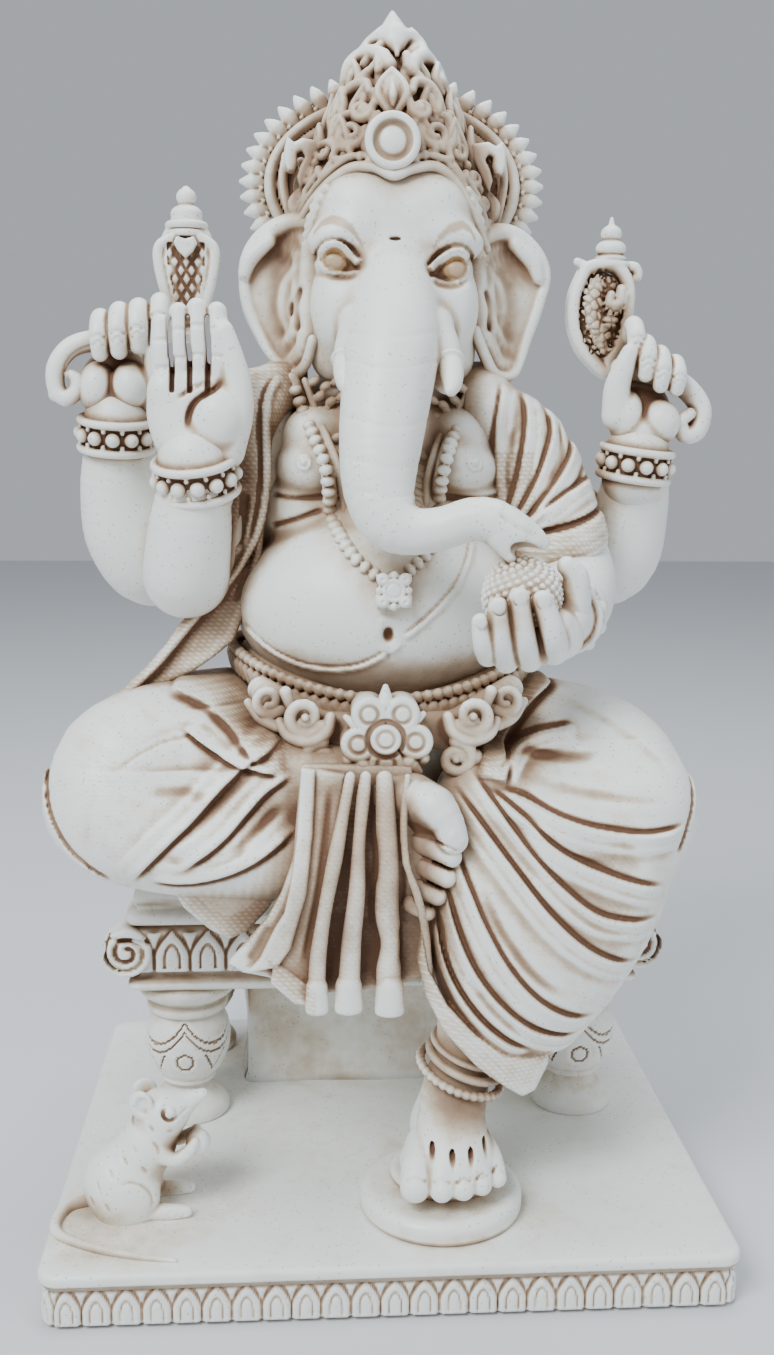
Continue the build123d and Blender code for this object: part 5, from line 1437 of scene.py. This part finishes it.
def add_head():
    """The head with the trunk, its eyes and brows, and the hair at the edge of the face."""
    clay = Clay((-44, -78, 246), (62, 62, 398))
    clay.ball((HEAD_X, 22, 360), (32, 31, 27), blend=0)
    clay.ball((HEAD_X, 6, 370), (28, 20, 23), blend=8)
    clay.ball((HEAD_X, 20, 340), (29, 28, 26), blend=8)
    for side in (-1, 1):
        clay.ball((HEAD_X + side * 12.5, 3, 376), (16, 16, 16), blend=8)  # the two domes of the brow
        clay.ball((HEAD_X + side * 18.5, -2, 343), (12.5, 13, 19), (-8, 0, side * 8), 8)  # cheeks
        clay.ball((HEAD_X + side * 22, 6, 326), (9, 10, 11), blend=6)
        clay.ball((HEAD_X + side * 21, -6.5, 366), (11.5, 8, 6), (0, side * 12, side * 14), 6)  # brow ridge
    clay.tube([(4, 6, 366, 15), (4, -3, 352, 16), (3.2, -12, 340, 16.6), (2, -22, 326, 16.8),
               (-0.8, -31, 308, 15.8), (-3, -38, 292, 14.4), (-3.8, -43.5, 277, 12.4),
               (-0.4, -48, 266.6, 10.4), (8, -51, 262.8, 8.2), (18, -53.5, 264.2, 7.3),
               (27, -56, 267.2, 7.4), (34.5, -58, 266.8, 7.4), (41, -59.4, 263, 6.6)], 7, spacing=3)
    clay.tube([(40, -59.4, 264, 6.6), (46, -60, 261.5, 5.2), (51, -60.6, 259.6, 2.4)], 2, flat=0.8)
    clay.tube([(37, -60, 261, 4.6), (40, -60.6, 255.5, 2.6)], 1.5)
    clay.ball((46, -63, 256), (7, 6.5, 3.6), (0, 24, 0), 0.8, cut=True)
    clay.stroke([(36, 268.6), (41, 265), (47, 262)], 1.4, -0.8, deep=20)
    for z, lean in ((330, 0), (320, 0.5), (300, 0.5), (286, 0.2), (276, -0.4)):  # creases across the trunk
        clay.stroke([(-16, z + 1.5), (1, z - 1.5 - lean), (17, z + 1.5)], 1.2, -0.22, deep=70)
    for side, crease, lid, lower, iris in (
        (-1,
         [(-25.4, 356), (-24.6, 359.4), (-22.9, 362.1), (-19.3, 363.5), (-15.6, 362.9), (-12, 360.1),
          (-8.8, 355.6)],
         [(-23.6, 357.2), (-22.4, 359.2), (-20.4, 360.6), (-17, 360.4), (-13.6, 358.2), (-9.4, 354.4)],
         [(-23.6, 357), (-22.2, 354.3), (-17.8, 353.2), (-13.4, 353.3), (-9.4, 354)],
         (-18.4, 357.0)),
        (1,
         [(14.6, 353.6), (18.2, 358.6), (22.8, 361.7), (27.4, 362.2), (30.9, 360.3), (32.4, 357.0)],
         [(15.6, 352.4), (19.6, 356.0), (23.3, 358.2), (27.0, 358.9), (30, 356.8)],
         [(15.6, 352.0), (19.7, 350.9), (24.2, 350.3), (27.8, 351.6), (30.2, 355.1)],
         (25.4, 354.9)),
    ):
        x, z = iris
        clay.ball((x - side * 1.6, -16.5, z - 0.6), (9.2, 7.5, 6.4), (0, side * 10, side * 16), 2.5,
                  cut=True)
        clay.ball((x - side * 0.6, -4.4, z), (7.6, 8.4, 6.8), (0, side * 8, side * 16), 1.0)
        clay.stroke([(px, pz + 1.3) for px, pz in lid], 1.9, 1.8, sharp=True, fade=0.07, **FACE)
        clay.stroke([(px, pz - 0.2) for px, pz in lower], 1.0, 0.6, sharp=True, fade=0.1, **FACE)
        clay.stroke([(px, pz + 0.9) for px, pz in crease], 0.9, -0.8, sharp=True, fade=0.06, **FACE)
        clay.stroke([(px, pz - 0.9) for px, pz in lid], 0.9, -0.8, sharp=True, fade=0.05, **FACE)
        clay.stroke([(px, pz + 0.9) for px, pz in lower], 0.8, -0.5, sharp=True, fade=0.08, **FACE)
        clay.stroke([(px, pz - 2.4) for px, pz in lower], 1.6, -0.4, fade=0.2, **FACE)
        clay.stroke([iris, (x + 0.01, z)], 3.4, 0.4, sharp=True, **FACE)
        # the mouth folds and sockets of the tusks
        clay.tube([(HEAD_X + side * 15, -18, 334, 5), (HEAD_X + side * 17.5, -20, 324, 5.4),
                   (HEAD_X + side * 18, -19, 314, 4)], 4)
    clay.stroke([(3.4, 364.4), (3.41, 364.4)], 1.3, -1.6, **FACE)
    middle = HEAD_X + 0.4
    for side in (-1, 1):  # plaited hair at the edge of the face
        line = smooth_curve([(middle + side * 27.4, -3, 382), (middle + side * 30, -1, 375),
                             (middle + side * 31.6, 3, 366), (middle + side * 32, 6, 354),
                             (middle + side * 31.6, 8, 344)], 2.6)
        for i, (x, y, z) in enumerate(line):
            clay.tube([(x - side * 1.6, y - 2.2, z + 1.4, 1.3), (x + side * 1.8, y + 1, z - 1.6, 1.3)], 0.3)
    piece = cast(clay, ivory, "head", "trunk")
    spots = vertex_vectors(piece, "vertices", "co") / MM
    x, y, z = spots.T
    painted = np.zeros(len(spots))
    for brow, iris in (
        ([(-26, 366.3), (-22.9, 370.1), (-19.3, 371.1), (-14.9, 369.6), (-11.3, 366.5), (-8, 361.6)],
         (-18.4, 357.2)),
        ([(16.6, 360.6), (18.8, 364.8), (22.4, 368.1), (27.6, 370.0), (30.5, 368.5), (32.4, 364.8)],
         (25.6, 355.0)),
    ):  # brown brows, irises and pupils, painted on
        middle = np.mean([a for a, _ in brow])
        width = interpolate(np.abs(x - middle), [(0, 2.0), (5, 1.5), (9.5, 0.8)])
        across = (x > brow[0][0]) * (x < brow[-1][0])
        painted += between(width + 0.3 - np.abs(z - interpolate(x, brow)), 0, 0.7) * across * 0.72
        away = np.hypot(x - iris[0], z - iris[1])
        painted += between(4.4 - away, 0, 0.5) * np.where(away > 3.1, 1.0, 0.62)
        painted += between(8.2 - np.hypot((x - iris[0]) * 0.95, (z - iris[1]) * 2.0), 0, 3) * 0.22
    number(piece, "paint", np.clip(painted, 0, 1) * (y < 8))


def add_tusks():
    """Two short tusks with a ring at each root."""
    clay = Clay((-34, -44, 300), (42, -2, 338), STEP * 0.7)
    for side in (-1, 1):
        clay.tube([(HEAD_X + side * 17.6, -18, 326, 4.6), (HEAD_X + side * 18.8, -25, 318.6, 4.4),
                   (HEAD_X + side * 18.8, -30, 313.6, 3.4), (HEAD_X + side * 18, -33, 311, 2.2)], 0.5)
        clay.hoop((HEAD_X + side * 18.2, -22, 321.6), (side * 0.1, -0.6, -0.7), 4.9, 1.0, 0.3)
    cast(clay, polished, "tusks")


def add_ears():
    """Each ear a dished sheet with a thick rolled rim and a fold in it."""
    for node, side, reach, shape in (
        ("right_ear", -1, 66, [(28, 0, 368), (31, 6, 372.5), (38, 11, 373.5), (46, 13, 370),
                               (52.5, 14, 363.5), (55.5, 14, 355), (54.5, 13, 344), (50, 12, 333),
                               (44.5, 10, 324), (38, 6, 318), (33, 1, 321), (30, -3, 330)]),
        ("left_ear", 1, 68, [(28, 0, 362), (33, 5, 367.6), (40, 10, 371), (48, 13, 369), (55, 14, 363),
                             (58.5, 14, 355.5), (56, 13, 344.5), (51.5, 12, 332), (46.5, 9, 319.5),
                             (39, 5, 318.5), (34, 1, 326), (30, -3, 334)]),
    ):
        ends = sorted((HEAD_X + side * 16, HEAD_X + side * reach))
        clay = Clay((ends[0], -14, 308), (ends[1], 36, 384), STEP * 0.8)

        def beside(rows):
            """Rows given from the middle of the head, on this ear's side."""
            return [(HEAD_X + side * row[0], *row[1:]) for row in rows]

        rim = beside(shape)
        centre = np.mean(rim, axis=0)
        for share in (0.86, 0.62, 0.38):
            sunk = np.array([0, 8.5 * (1 - share) + 2.5, 0])
            ring = [(*(centre + (np.array(p) - centre) * share + sunk), 4.2) for p in rim]
            clay.tube(ring + ring[:1], 3, flat=0.7)
        clay.ball(centre + np.array([0, 8.5, 0]), (12, 5, 16), blend=4)
        thick = [2.4, 3.0, 3.4, 3.6, 3.2, 2.2, 1.9, 1.9, 2.0, 2.2, 2.0, 2.0]
        clay.tube([p + (r,) for p, r in zip(rim, thick)], 1.2)
        clay.tube(beside([(46, 10, 366.5, 2.4), (53, 11.5, 360.5, 3.0), (55.4, 11.5, 355, 2.2)]), 2)
        clay.tube(beside([(33, 7, 358, 1.8), (39, 10.5, 352, 2.0), (41, 12, 342, 1.9), (37, 9, 331, 1.5)]),
                  1.5)
        clay.stroke(beside([(34, 348), (37, 342), (35, 335)]), 2.4, -1.0, deep=40)
        cast(clay, draped, node)


# ---------------------------------------------------------------- crown
CROWN_X, CROWN_Y = 5, 23  # the crown's axis
BAND_X = 4.5  # the middle of its lower band


def crown_radius(z):
    """How wide the crown's cone is at a height."""
    return float(interpolate(z, [(380, 32.5), (388, 31.5), (398, 29), (408, 25.5), (418, 20.5), (427, 16),
                                 (434, 12), (440, 8), (446, 4.4), (451, 0.8)]))


def on_crown(x, z, out=0.0):
    """A point on the front of the crown at this X and Z, moved outwards."""
    radius = crown_radius(z)
    away = max(radius**2 - (x - CROWN_X) ** 2, (0.12 * radius) ** 2)
    return (x, CROWN_Y - math.sqrt(away) - out, z)


def band_radius(z):
    """How wide the crown's lower band is at a height."""
    return float(interpolate(z, [(366, 38.6), (380, 37), (390, 34.2), (402, 29.5)]))


def on_band(x, z, out=0.0):
    """A point on the front of the crown's lower band at this X and Z, moved outwards."""
    radius = band_radius(z)
    away = max(radius**2 - (x - BAND_X) ** 2, (0.2 * radius) ** 2)
    return (x, CROWN_Y - math.sqrt(away) - out, z)


def round_crown(turn, z, out=0.0):
    """A point on the crown at this many degrees round from the front, to the figure's left."""
    radius = crown_radius(z) + out
    turn = math.radians(turn)
    return (CROWN_X + radius * math.sin(turn), CROWN_Y - radius * math.cos(turn), z)


def laid(place, rows):
    """Points for a tube laid on the crown, from (where, z, out, radius) rows put in place by a function."""
    return [(*place(where, z, out), radius) for where, z, out, radius in rows]


def crown_leaf(clay, turn, bottom, top, half, out=1.0):
    """A pointed leaf standing on the crown, with a raised edge and a ridge up its middle."""
    rise = top - bottom
    for side in (-1, 1):
        clay.tube(laid(round_crown, [
            (turn + side * half * 0.4, bottom, out, 1.5),
            (turn + side * half, bottom + rise * 0.35, out + 0.8, 1.7),
            (turn + side * half * 0.6, bottom + rise * 0.7, out + 1.8, 1.5), (turn, top, out + 3.2, 1.0)]),
            0.4)
    clay.tube(laid(round_crown, [
        (turn, bottom + 1, out, 1.7), (turn, bottom + rise * 0.5, out + 1.2, 1.9),
        (turn, bottom + rise * 0.82, out + 1.6, 0.9)]), 0.3)


def scroll_on_crown(clay, x, z, start, way, lead):
    """A scroll on the front of the crown: it runs in from lead and curls round to its eye."""
    radius, thick, out, steps = 3.8, 1.7, 4, 16
    rows = [(px, pz, out, thick) for px, pz in lead]
    for i in range(steps + 1):
        turn = start + way * 2 * math.pi * i / 12
        r = radius * (1 - 0.78 * i / steps)
        rows.append((x + r * math.cos(turn), z + r * math.sin(turn), out + 0.8 * i / steps,
                     thick * (1 - 0.3 * i / steps)))
    clay.tube(laid(on_crown, rows), 0.4)
    clay.ball(on_crown(x, z, out + 1.0), thick * 0.95, blend=0.3)


def add_crown_cap():
    """The cone of the crown: rows of leaves all round, and scrolls and buds in front."""
    clay = Clay((-40, -16, 376), (50, 66, 456), STEP * 0.8)
    for z in (384, 392, 400, 408):
        clay.ball((CROWN_X, CROWN_Y, z), (crown_radius(z), crown_radius(z), 14), blend=3)
    for z in (414, 420, 427, 434, 440):
        clay.ball((CROWN_X, CROWN_Y, z - 1), (crown_radius(z), crown_radius(z), 7), blend=3)
    y = CROWN_Y - 2
    clay.tube([(CROWN_X - 0.5, y, 436, 7.4), (CROWN_X - 0.7, y, 443, 5), (CROWN_X - 1, y, 450.4, 0.9)], 2)
    for i in range(12):  # leaves in three rows, all round
        crown_leaf(clay, 30 * i + 15, 393, 409, 9)
        crown_leaf(clay, 30 * i, 407, 421, 10)
    for i in range(9):
        crown_leaf(clay, 40 * i + 20, 420, 431, 14)
    for i in range(6):
        clay.tube(laid(round_crown, [(60 * i + 10, 430, 0.5, 2.2), (60 * i + 34, 436, 1.4, 2.4),
                                     (60 * i + 60, 441, 1.8, 1.6), (60 * i + 80, 445, 1.2, 0.9)]), 0.5)
    # the front: curled leaves, a lotus bud and scrolls
    for points in (
        [(-13, 425), (-11.5, 431), (-6, 434.6), (-1, 432), (2, 427.5)],
        [(21, 424), (19.5, 430), (15.5, 433), (11.5, 430.4), (10, 426)],
        [(-6.5, 434), (-4, 438.4), (1, 440), (4, 438)],
        [(14.5, 434), (13, 438), (9, 440), (6, 438)],
    ):
        clay.tube(laid(on_crown, [(x, z, 3.4, 2.8) for x, z in points]), 0.8)
    for x, z in ((-2, 428.5), (0.6, 430.5), (8.2, 430), (10.5, 428)):
        clay.tube(laid(on_crown, [(x, z - 3, 4.2, 1.6), (x, z + 1.5, 4.6, 1.7)]), 0.4)
    bud = [(4.6, 444, 2.6, 2.2), (4.6, 439, 3.6, 4.6), (4.8, 434, 3.8, 1.6), (4.8, 431.4, 3.8, 0.8)]
    clay.tube(laid(on_crown, bud), 0.6, flat=0.7)
    x = 2.6  # the middle of the flame over the medallion
    clay.tube(laid(on_crown, [(x, 411, 3, 2.4), (x, 416, 4.4, 3.6), (x, 421, 5, 2.2)]), 0.4, flat=0.7)
    for side in (-1, 1):
        clay.tube(laid(on_crown, [(x + side * 1.8, 410, 4, 1.3), (x + side * 5.0, 415.6, 5.4, 1.6),
                                  (x + side * 3.8, 420.4, 6, 1.5), (x, 425, 6.6, 1.1)]), 0.3)
    clay.tube(laid(on_crown, [(x, 411.5, 6, 0.8), (x, 415.5, 7.2, 1.7), (x, 420.5, 7.0, 0.7)]), 0.3)
    scroll_on_crown(clay, -8.4, 410.6, 0.2, -1, [(-2.6, 417.5), (-3.6, 413)])
    scroll_on_crown(clay, 13.0, 411.0, 2.9, 1, [(7.6, 417.5), (8.6, 413.5)])
    for side, x in ((-1, -9), (1, 13.6)):
        clay.tube(laid(on_crown, [(x + side * 5.6, 411, 3, 1.9), (x + side * 6.2, 416, 3.4, 2.0),
                                  (x + side * 2.6, 420.8, 4, 2.1), (x - side * 2.4, 421.2, 4.4, 1.9),
                                  (x - side * 3.6, 417.6, 4.8, 1.5)]), 0.5)
        clay.tube(laid(on_crown, [(x - side * 0.5, 423.4, 3.6, 1.8), (x - side * 3.4, 425.6, 4, 1.8)]), 0.5)
    cast(clay, ornate, "crown_cap")


def add_medallion():
    """The round boss on the front of the crown."""
    clay = Clay((-16, -32, 382), (20, -2, 412), STEP * 0.6)
    x, z = 2.2, 398
    clay.tube([(x, -13, z, 9.8), (x, -3, z, 9.8)], 0, spacing=2)
    clay.keep(1, -13.4)
    clay.hoop((x, -13.8, z), (0, 1, 0), 8.3, 1.7, 0.5)
    clay.hoop((x, -14.4, z), (0, 1, 0), 6.0, 1.2, 0.3, cut=True)
    clay.ball((x, -13.2, z), (5.0, 2.4, 5.0), blend=0.3)
    cast(clay, ivory, "crown_medallion")


def add_crown_band():
    """The crown's lower band, from the brow round the back of the head, with its scrolls."""
    clay = Clay((-46, -28, 358), (54, 70, 414), STEP * 0.8)
    brow = [(-34.5, 364), (-32.6, 368), (-28.4, 376), (-23, 382.4), (-17, 387.2), (-11.4, 389.8),
            (-4.2, 389.4), (2.6, 386.4), (9.6, 389), (18, 390.4), (24.6, 386.4), (30, 379.6), (34.8, 371.4),
            (38.5, 364)]
    for z in (372, 380, 388, 396):
        r = band_radius(z) - 1.6
        clay.ball((BAND_X, CROWN_Y, z), (r, r, 14), blend=3)
    x, y, z = clay.axes[0][:, None, None], clay.axes[1][None, :, None], clay.axes[2][None, None, :]
    front = interpolate(x, brow)
    floor = front + (374 + 0.22 * (y - 20) - front) * between(y, 8, 26)
    clay.field = np.maximum(clay.field, (floor - z) * 0.9)
    clay.keep(2, 402, above=False)
    for up, thick in ((0, 1.9), (4.0, 1.3)):
        clay.tube([(*on_band(x, z + up, 0.4), thick) for x, z in brow], 0.4)
    clay.tube([(40.5, 30, 369, 2), (38, 40, 374, 2), (26, 54, 379, 2), (5, 60, 381, 2), (-16, 54, 379, 2),
               (-29, 40, 374, 2), (-32, 30, 369, 2)], 0.4)
    for i in range(15):  # a row of drops round the back
        turn = math.radians(75 + 14 * i)
        x, y = BAND_X + 34.6 * math.sin(turn), CROWN_Y - 34.6 * math.cos(turn)
        clay.ball((x, y, 388), (3, 3, 5.2), blend=0.3)
        clay.ball((x, y, 397), (2, 2, 2), blend=0.3)
    for x, z, radius, start, way, lead in (
        (-21.8, 397.4, 4.4, -0.8, 1, [(-12, 393.8), (-16.5, 393)]),
        (-27.0, 390.2, 3.3, 0.2, -1, [(-19.5, 391.8), (-22.5, 388)]),
        (-31.0, 382.6, 2.8, 0.4, -1, [(-25.4, 387)]),
        (-34.0, 375.4, 2.3, 0.4, -1, [(-29.5, 380.6)]),
        (27, 396.8, 4.3, 3.9, -1, [(17, 394.2), (21.5, 393.4)]),
        (33.0, 388.8, 3.4, 2.9, 1, [(25, 391.4), (28.5, 387.6)]),
        (37, 380.6, 2.8, 2.7, 1, [(31.6, 385.4)]),
        (39.6, 373.4, 2.2, 2.7, 1, [(35.4, 378.8)]),
    ):
        rows = [(px, pz, 0.8, 1.5) for px, pz in lead]
        for i in range(15):
            turn = start + way * 2 * math.pi * i / 12
            r = radius * (1 - 0.76 * i / 14)
            rows.append((x + r * math.cos(turn), z + r * math.sin(turn), 1.0 + 0.05 * i, 1.55 - 0.03 * i))
        clay.tube(laid(on_band, rows), 0.3)
        clay.ball(on_band(x, z, 1.2), 1.3, blend=0.3)
    for x, z in ((-9, 393.6), (-12.6, 396.6), (-5.6, 392.4), (14, 394.2), (18, 397), (10.4, 392.8),
                 (-24.6, 394), (30.4, 393), (-29, 386.6), (35.4, 385)):
        clay.ball(on_band(x, z, 0.6), (1.8, 1.8, 1.8), blend=0.3)
    for side in (-1, 1):  # scrolls beside the medallion, with fish-tail tops
        x, z = 3.2 + side * 15.2, 402.6
        rows = []
        for i in range(17):
            turn = (math.pi if side > 0 else 0) - side * (0.2 - 2 * math.pi * i / 12)
            r = 5.2 * (1 - 0.75 * i / 16)
            rows.append((x + r * math.cos(turn), z + r * math.sin(turn), 2.6 + 0.06 * i, 1.8 - 0.03 * i))
        clay.tube(laid(on_crown, rows), 0.4)
        clay.tube(laid(on_crown, [(x + side * out, z + up, 2.6, r) for out, up, r in (
            (2.0, -5.2, 2), (5.4, -3, 2.2), (6.0, 2, 2.4), (4.4, 6.4, 2.3), (-0.6, 8.0, 1.5))]), 0.5)
        clay.ball(on_crown(x + side * 5.0, z + 8.4, 2.6), (2.6, 2, 2.0), blend=0.5)
        # the scrolls at the temples, each with a forked top and a hooked foot
        turned = [(-36.5, 399.2), (-35.4, 403.6), (-32.8, 401.6), (-29.8, 403.2), (-23.6, 402.2),
                  (-24.2, 396.8), (-27.2, 391.2), (-30.4, 385), (-31.8, 389.4), (-30.6, 393.4),
                  (-28.8, 396.6), (-30, 398.6), (-31.8, 397.6), (-31.6, 394.4), (-32.6, 391.6),
                  (-35, 391.4), (-36.4, 394.4)]
        middle = 4.8
        clay.sheet([(middle + side * (4.6 - x), z) for x, z in turned], 8.6, 8, 1.1, 0.4)
        for line in (
            [(35.4, 14, 384, 2.2), (37.6, 13, 380.6, 2.4), (36.2, 12, 376.4, 2.2), (33.6, 12, 378.4, 1.7)],
            [(40.6, 16, 398, 1.6), (41.6, 17, 390, 1.6), (40, 17, 380, 1.6), (37, 17, 370, 1.6)],
        ):
            clay.tube([(middle + side * x, y, z, r) for x, y, z, r in line], 0.5)
    cast(clay, ornate, "crown_band")


def on_halo(turn, grow, out, thick):
    """A tube's point on the halo, this many degrees up from its left end, outside its edge by grow."""
    low, high = box_mm("crown_halo")
    (x, y, z), half = (low + high) / 2, (high - low) / 2
    turn = math.radians(turn)
    return (x + (half[0] + grow) * math.cos(turn), y + out, z + (half[2] + grow) * math.sin(turn), thick)


def add_halo():
    """The oval plate behind the crown, with two rings on each face and a domed back."""
    low, high = box_mm("crown_halo")
    (x, y, z), half = (low + high) / 2, (high - low) / 2
    clay = Clay((low[0] - 5, low[1] - 8, low[2] - 5), (high[0] + 5, high[1] + 18, high[2] + 5))
    clay.ball((x, y + 1, z), (half[0], 4.6, half[2]), blend=0)
    clay.ball((x, y + 6, z), (half[0] - 8, 12, half[2] - 8), blend=3)  # the domed back
    for grow, thick in ((-1.6, 2.3), (-6.4, 1.9)):
        for out in (-3.4, 3):
            clay.tube([on_halo(turn, grow, out, thick) for turn in range(0, 361, 12)], 0.6)
    cast(clay, ornate, "crown_halo")


def add_halo_petals():
    """Pointed petals and small beads round the halo's edge, down to the ears."""
    low, high = box_mm("crown_halo")
    clay = Clay((low[0] - 14, low[1] - 6, low[2] - 4), (high[0] + 14, high[1] + 4, high[2] + 14),
                STEP * 0.75)
    for i in range(31):
        turn = -30 + 240 * i / 30
        for blend, petal in ((0, [(0.5, 0, 2.6), (5, -0.8, 3.1), (9.6, -0.4, 1.1)]),
                             (0.3, [(0.5, 2, 2.0), (5, 2, 2.2), (9.6, 0.5, 0.9)])):
            clay.tube([on_halo(turn, *row) for row in petal], blend, flat=0.8)
        clay.ball(on_halo(turn + 4, 1.6, -3, 0)[:3], 1.0, blend=0.2)
    cast(clay, ornate, "halo_petals")


# ---------------------------------------------------------------- everything together
for add_part in (add_plinth, add_foot_rest, add_stool, add_mouse, add_torso, add_hips, add_right_leg,
                 add_left_leg, add_pleats, add_left_foot, add_anklet, add_right_foot, add_belt, add_buckle,
                 add_belt_scrolls, add_necklace, add_pendant, add_arms, add_bracelets, add_raised_palm,
                 add_rear_hands, add_right_attribute, add_left_attribute, add_offering_hand, add_sweet,
                 add_right_shawl, add_left_shawl, add_head, add_tusks, add_ears, add_crown_cap,
                 add_medallion, add_crown_band, add_halo, add_halo_petals):
    add_part()


def paint_occlusion_shade(spacing=3.0, margin=24):
    """Stores on each piece how shut in each point is by the pieces round it: painted shade, darkened brown
    with the wash like ambient occlusion.
    """
    low = np.array(cad_box[0]) / MM - margin
    high = np.array(cad_box[1]) / MM + margin
    count = np.ceil((high - low) / spacing).astype(int)
    full = np.zeros(tuple(count), np.float32)
    clay = Clay(low, low + (count - 1) * spacing, spacing)
    skins = []
    for piece in pieces:
        spots = vertex_vectors(piece, "vertices", "co") / MM
        normals = vertex_vectors(piece, "vertex_normals", "vector")
        skins.append((piece, spots, normals))
        for depth in (1.5, 4.5, 7.5):
            cells = np.round((spots - normals * depth - low) / spacing).astype(int)
            cells = np.clip(cells, 0, count - 1)
            full[cells[:, 0], cells[:, 1], cells[:, 2]] = 1
    near, wide = blurred(full, 2), blurred(full, 4)
    for piece, spots, normals in skins:
        out = spots + normals * 5
        shut = clay.at(near, out) * 0.9 + clay.at(wide, out) * 0.8
        number(piece, "deep", np.clip((shut - 0.42) * 1.6, 0, 1.2))


# painted shade wherever the pieces shut each other in
paint_occlusion_shade()


# ---------------------------------------------------------------- steel dowels
steel = bpy.data.materials.new("dowel_steel")
tree, shader, add = shade_network(steel)
place = tree.nodes.new("ShaderNodeTexCoord").outputs["Object"]
brushed = add("TexNoise", ("Vector", place), ("Scale", 900.0), ("Detail", 3.0))
tone = colour_ramp(tree, brushed, ((0.0, (0.38, 0.38, 0.39)), (1.0, (0.56, 0.56, 0.57))))
tree.links.new(tone, shader.inputs["Base Color"])
shader.inputs["Metallic"].default_value = 1
shader.inputs["Roughness"].default_value = 0.35
for node in ("neck_dowel", "arm_dowels", "hip_dowel", "plinth_dowels"):
    dowel = bpy.data.objects[node]
    dowel.data.materials.clear()
    dowel.data.materials.append(steel)

# ---------------------------------------------------------------- floor, light and camera
bpy.ops.mesh.primitive_plane_add(size=6, location=(0, 0, -0.0002))
floor = bpy.context.object
floor.name = "floor"
pale = bpy.data.materials.new("pale_floor")
tree, shader, add = shade_network(pale)
shader.inputs["Base Color"].default_value = (0.62, 0.63, 0.65, 1)
shader.inputs["Roughness"].default_value = 0.8
floor.data.materials.append(pale)

world = bpy.data.worlds.new("studio")
world.use_nodes = True
world.node_tree.nodes["Background"].inputs["Color"].default_value = (0.72, 0.76, 0.82, 1)
world.node_tree.nodes["Background"].inputs["Strength"].default_value = 0.6
bpy.context.scene.world = world


def soft_light(name, spot, aim, size, power, colour):
    """A square lamp aimed at a point."""
    light = bpy.data.lights.new(name, "AREA")
    light.size = size
    light.energy = power
    light.color = colour
    lamp = bpy.data.objects.new(name, light)
    lamp.location = spot
    lamp.rotation_euler = (Vector(aim) - Vector(spot)).to_track_quat("-Z", "Y").to_euler()
    bpy.context.scene.collection.objects.link(lamp)


BELLY, CHEST = (0, 0, 0.22), (0, 0, 0.3)  # what the lamps aim at
soft_light("key", (-0.75, -0.95, 1.35), BELLY, 0.7, 32.0, (0.93, 0.975, 1.0))
soft_light("fill", (1.2, -0.8, 0.7), BELLY, 1.0, 6.5, (0.9, 0.95, 1.0))
soft_light("top", (0.1, 0.25, 1.5), CHEST, 0.9, 14.0, (0.9, 0.96, 1.0))

EYE = (-30.75 * MM, -514.13 * MM, 291.0 * MM)
yaw, pitch, roll = (math.radians(a) for a in (-3.675, 9.657, 0.377))
forward = Vector((-math.sin(yaw) * math.cos(pitch), math.cos(yaw) * math.cos(pitch), -math.sin(pitch)))
across = forward.cross(Vector((0, 0, 1))).normalized()
upward = across.cross(forward)
across, upward = (across * math.cos(roll) + upward * math.sin(roll),
                  upward * math.cos(roll) - across * math.sin(roll))
camera = bpy.data.objects.new("camera", bpy.data.cameras.new("camera"))
camera.data.sensor_width = 36
camera.data.lens = 35.87
camera.data.clip_start = 0.01
camera.matrix_world = Matrix((
    (across.x, upward.x, -forward.x, EYE[0]),
    (across.y, upward.y, -forward.y, EYE[1]),
    (across.z, upward.z, -forward.z, EYE[2]),
    (0, 0, 0, 1)))
bpy.context.scene.collection.objects.link(camera)
bpy.context.scene.camera = camera
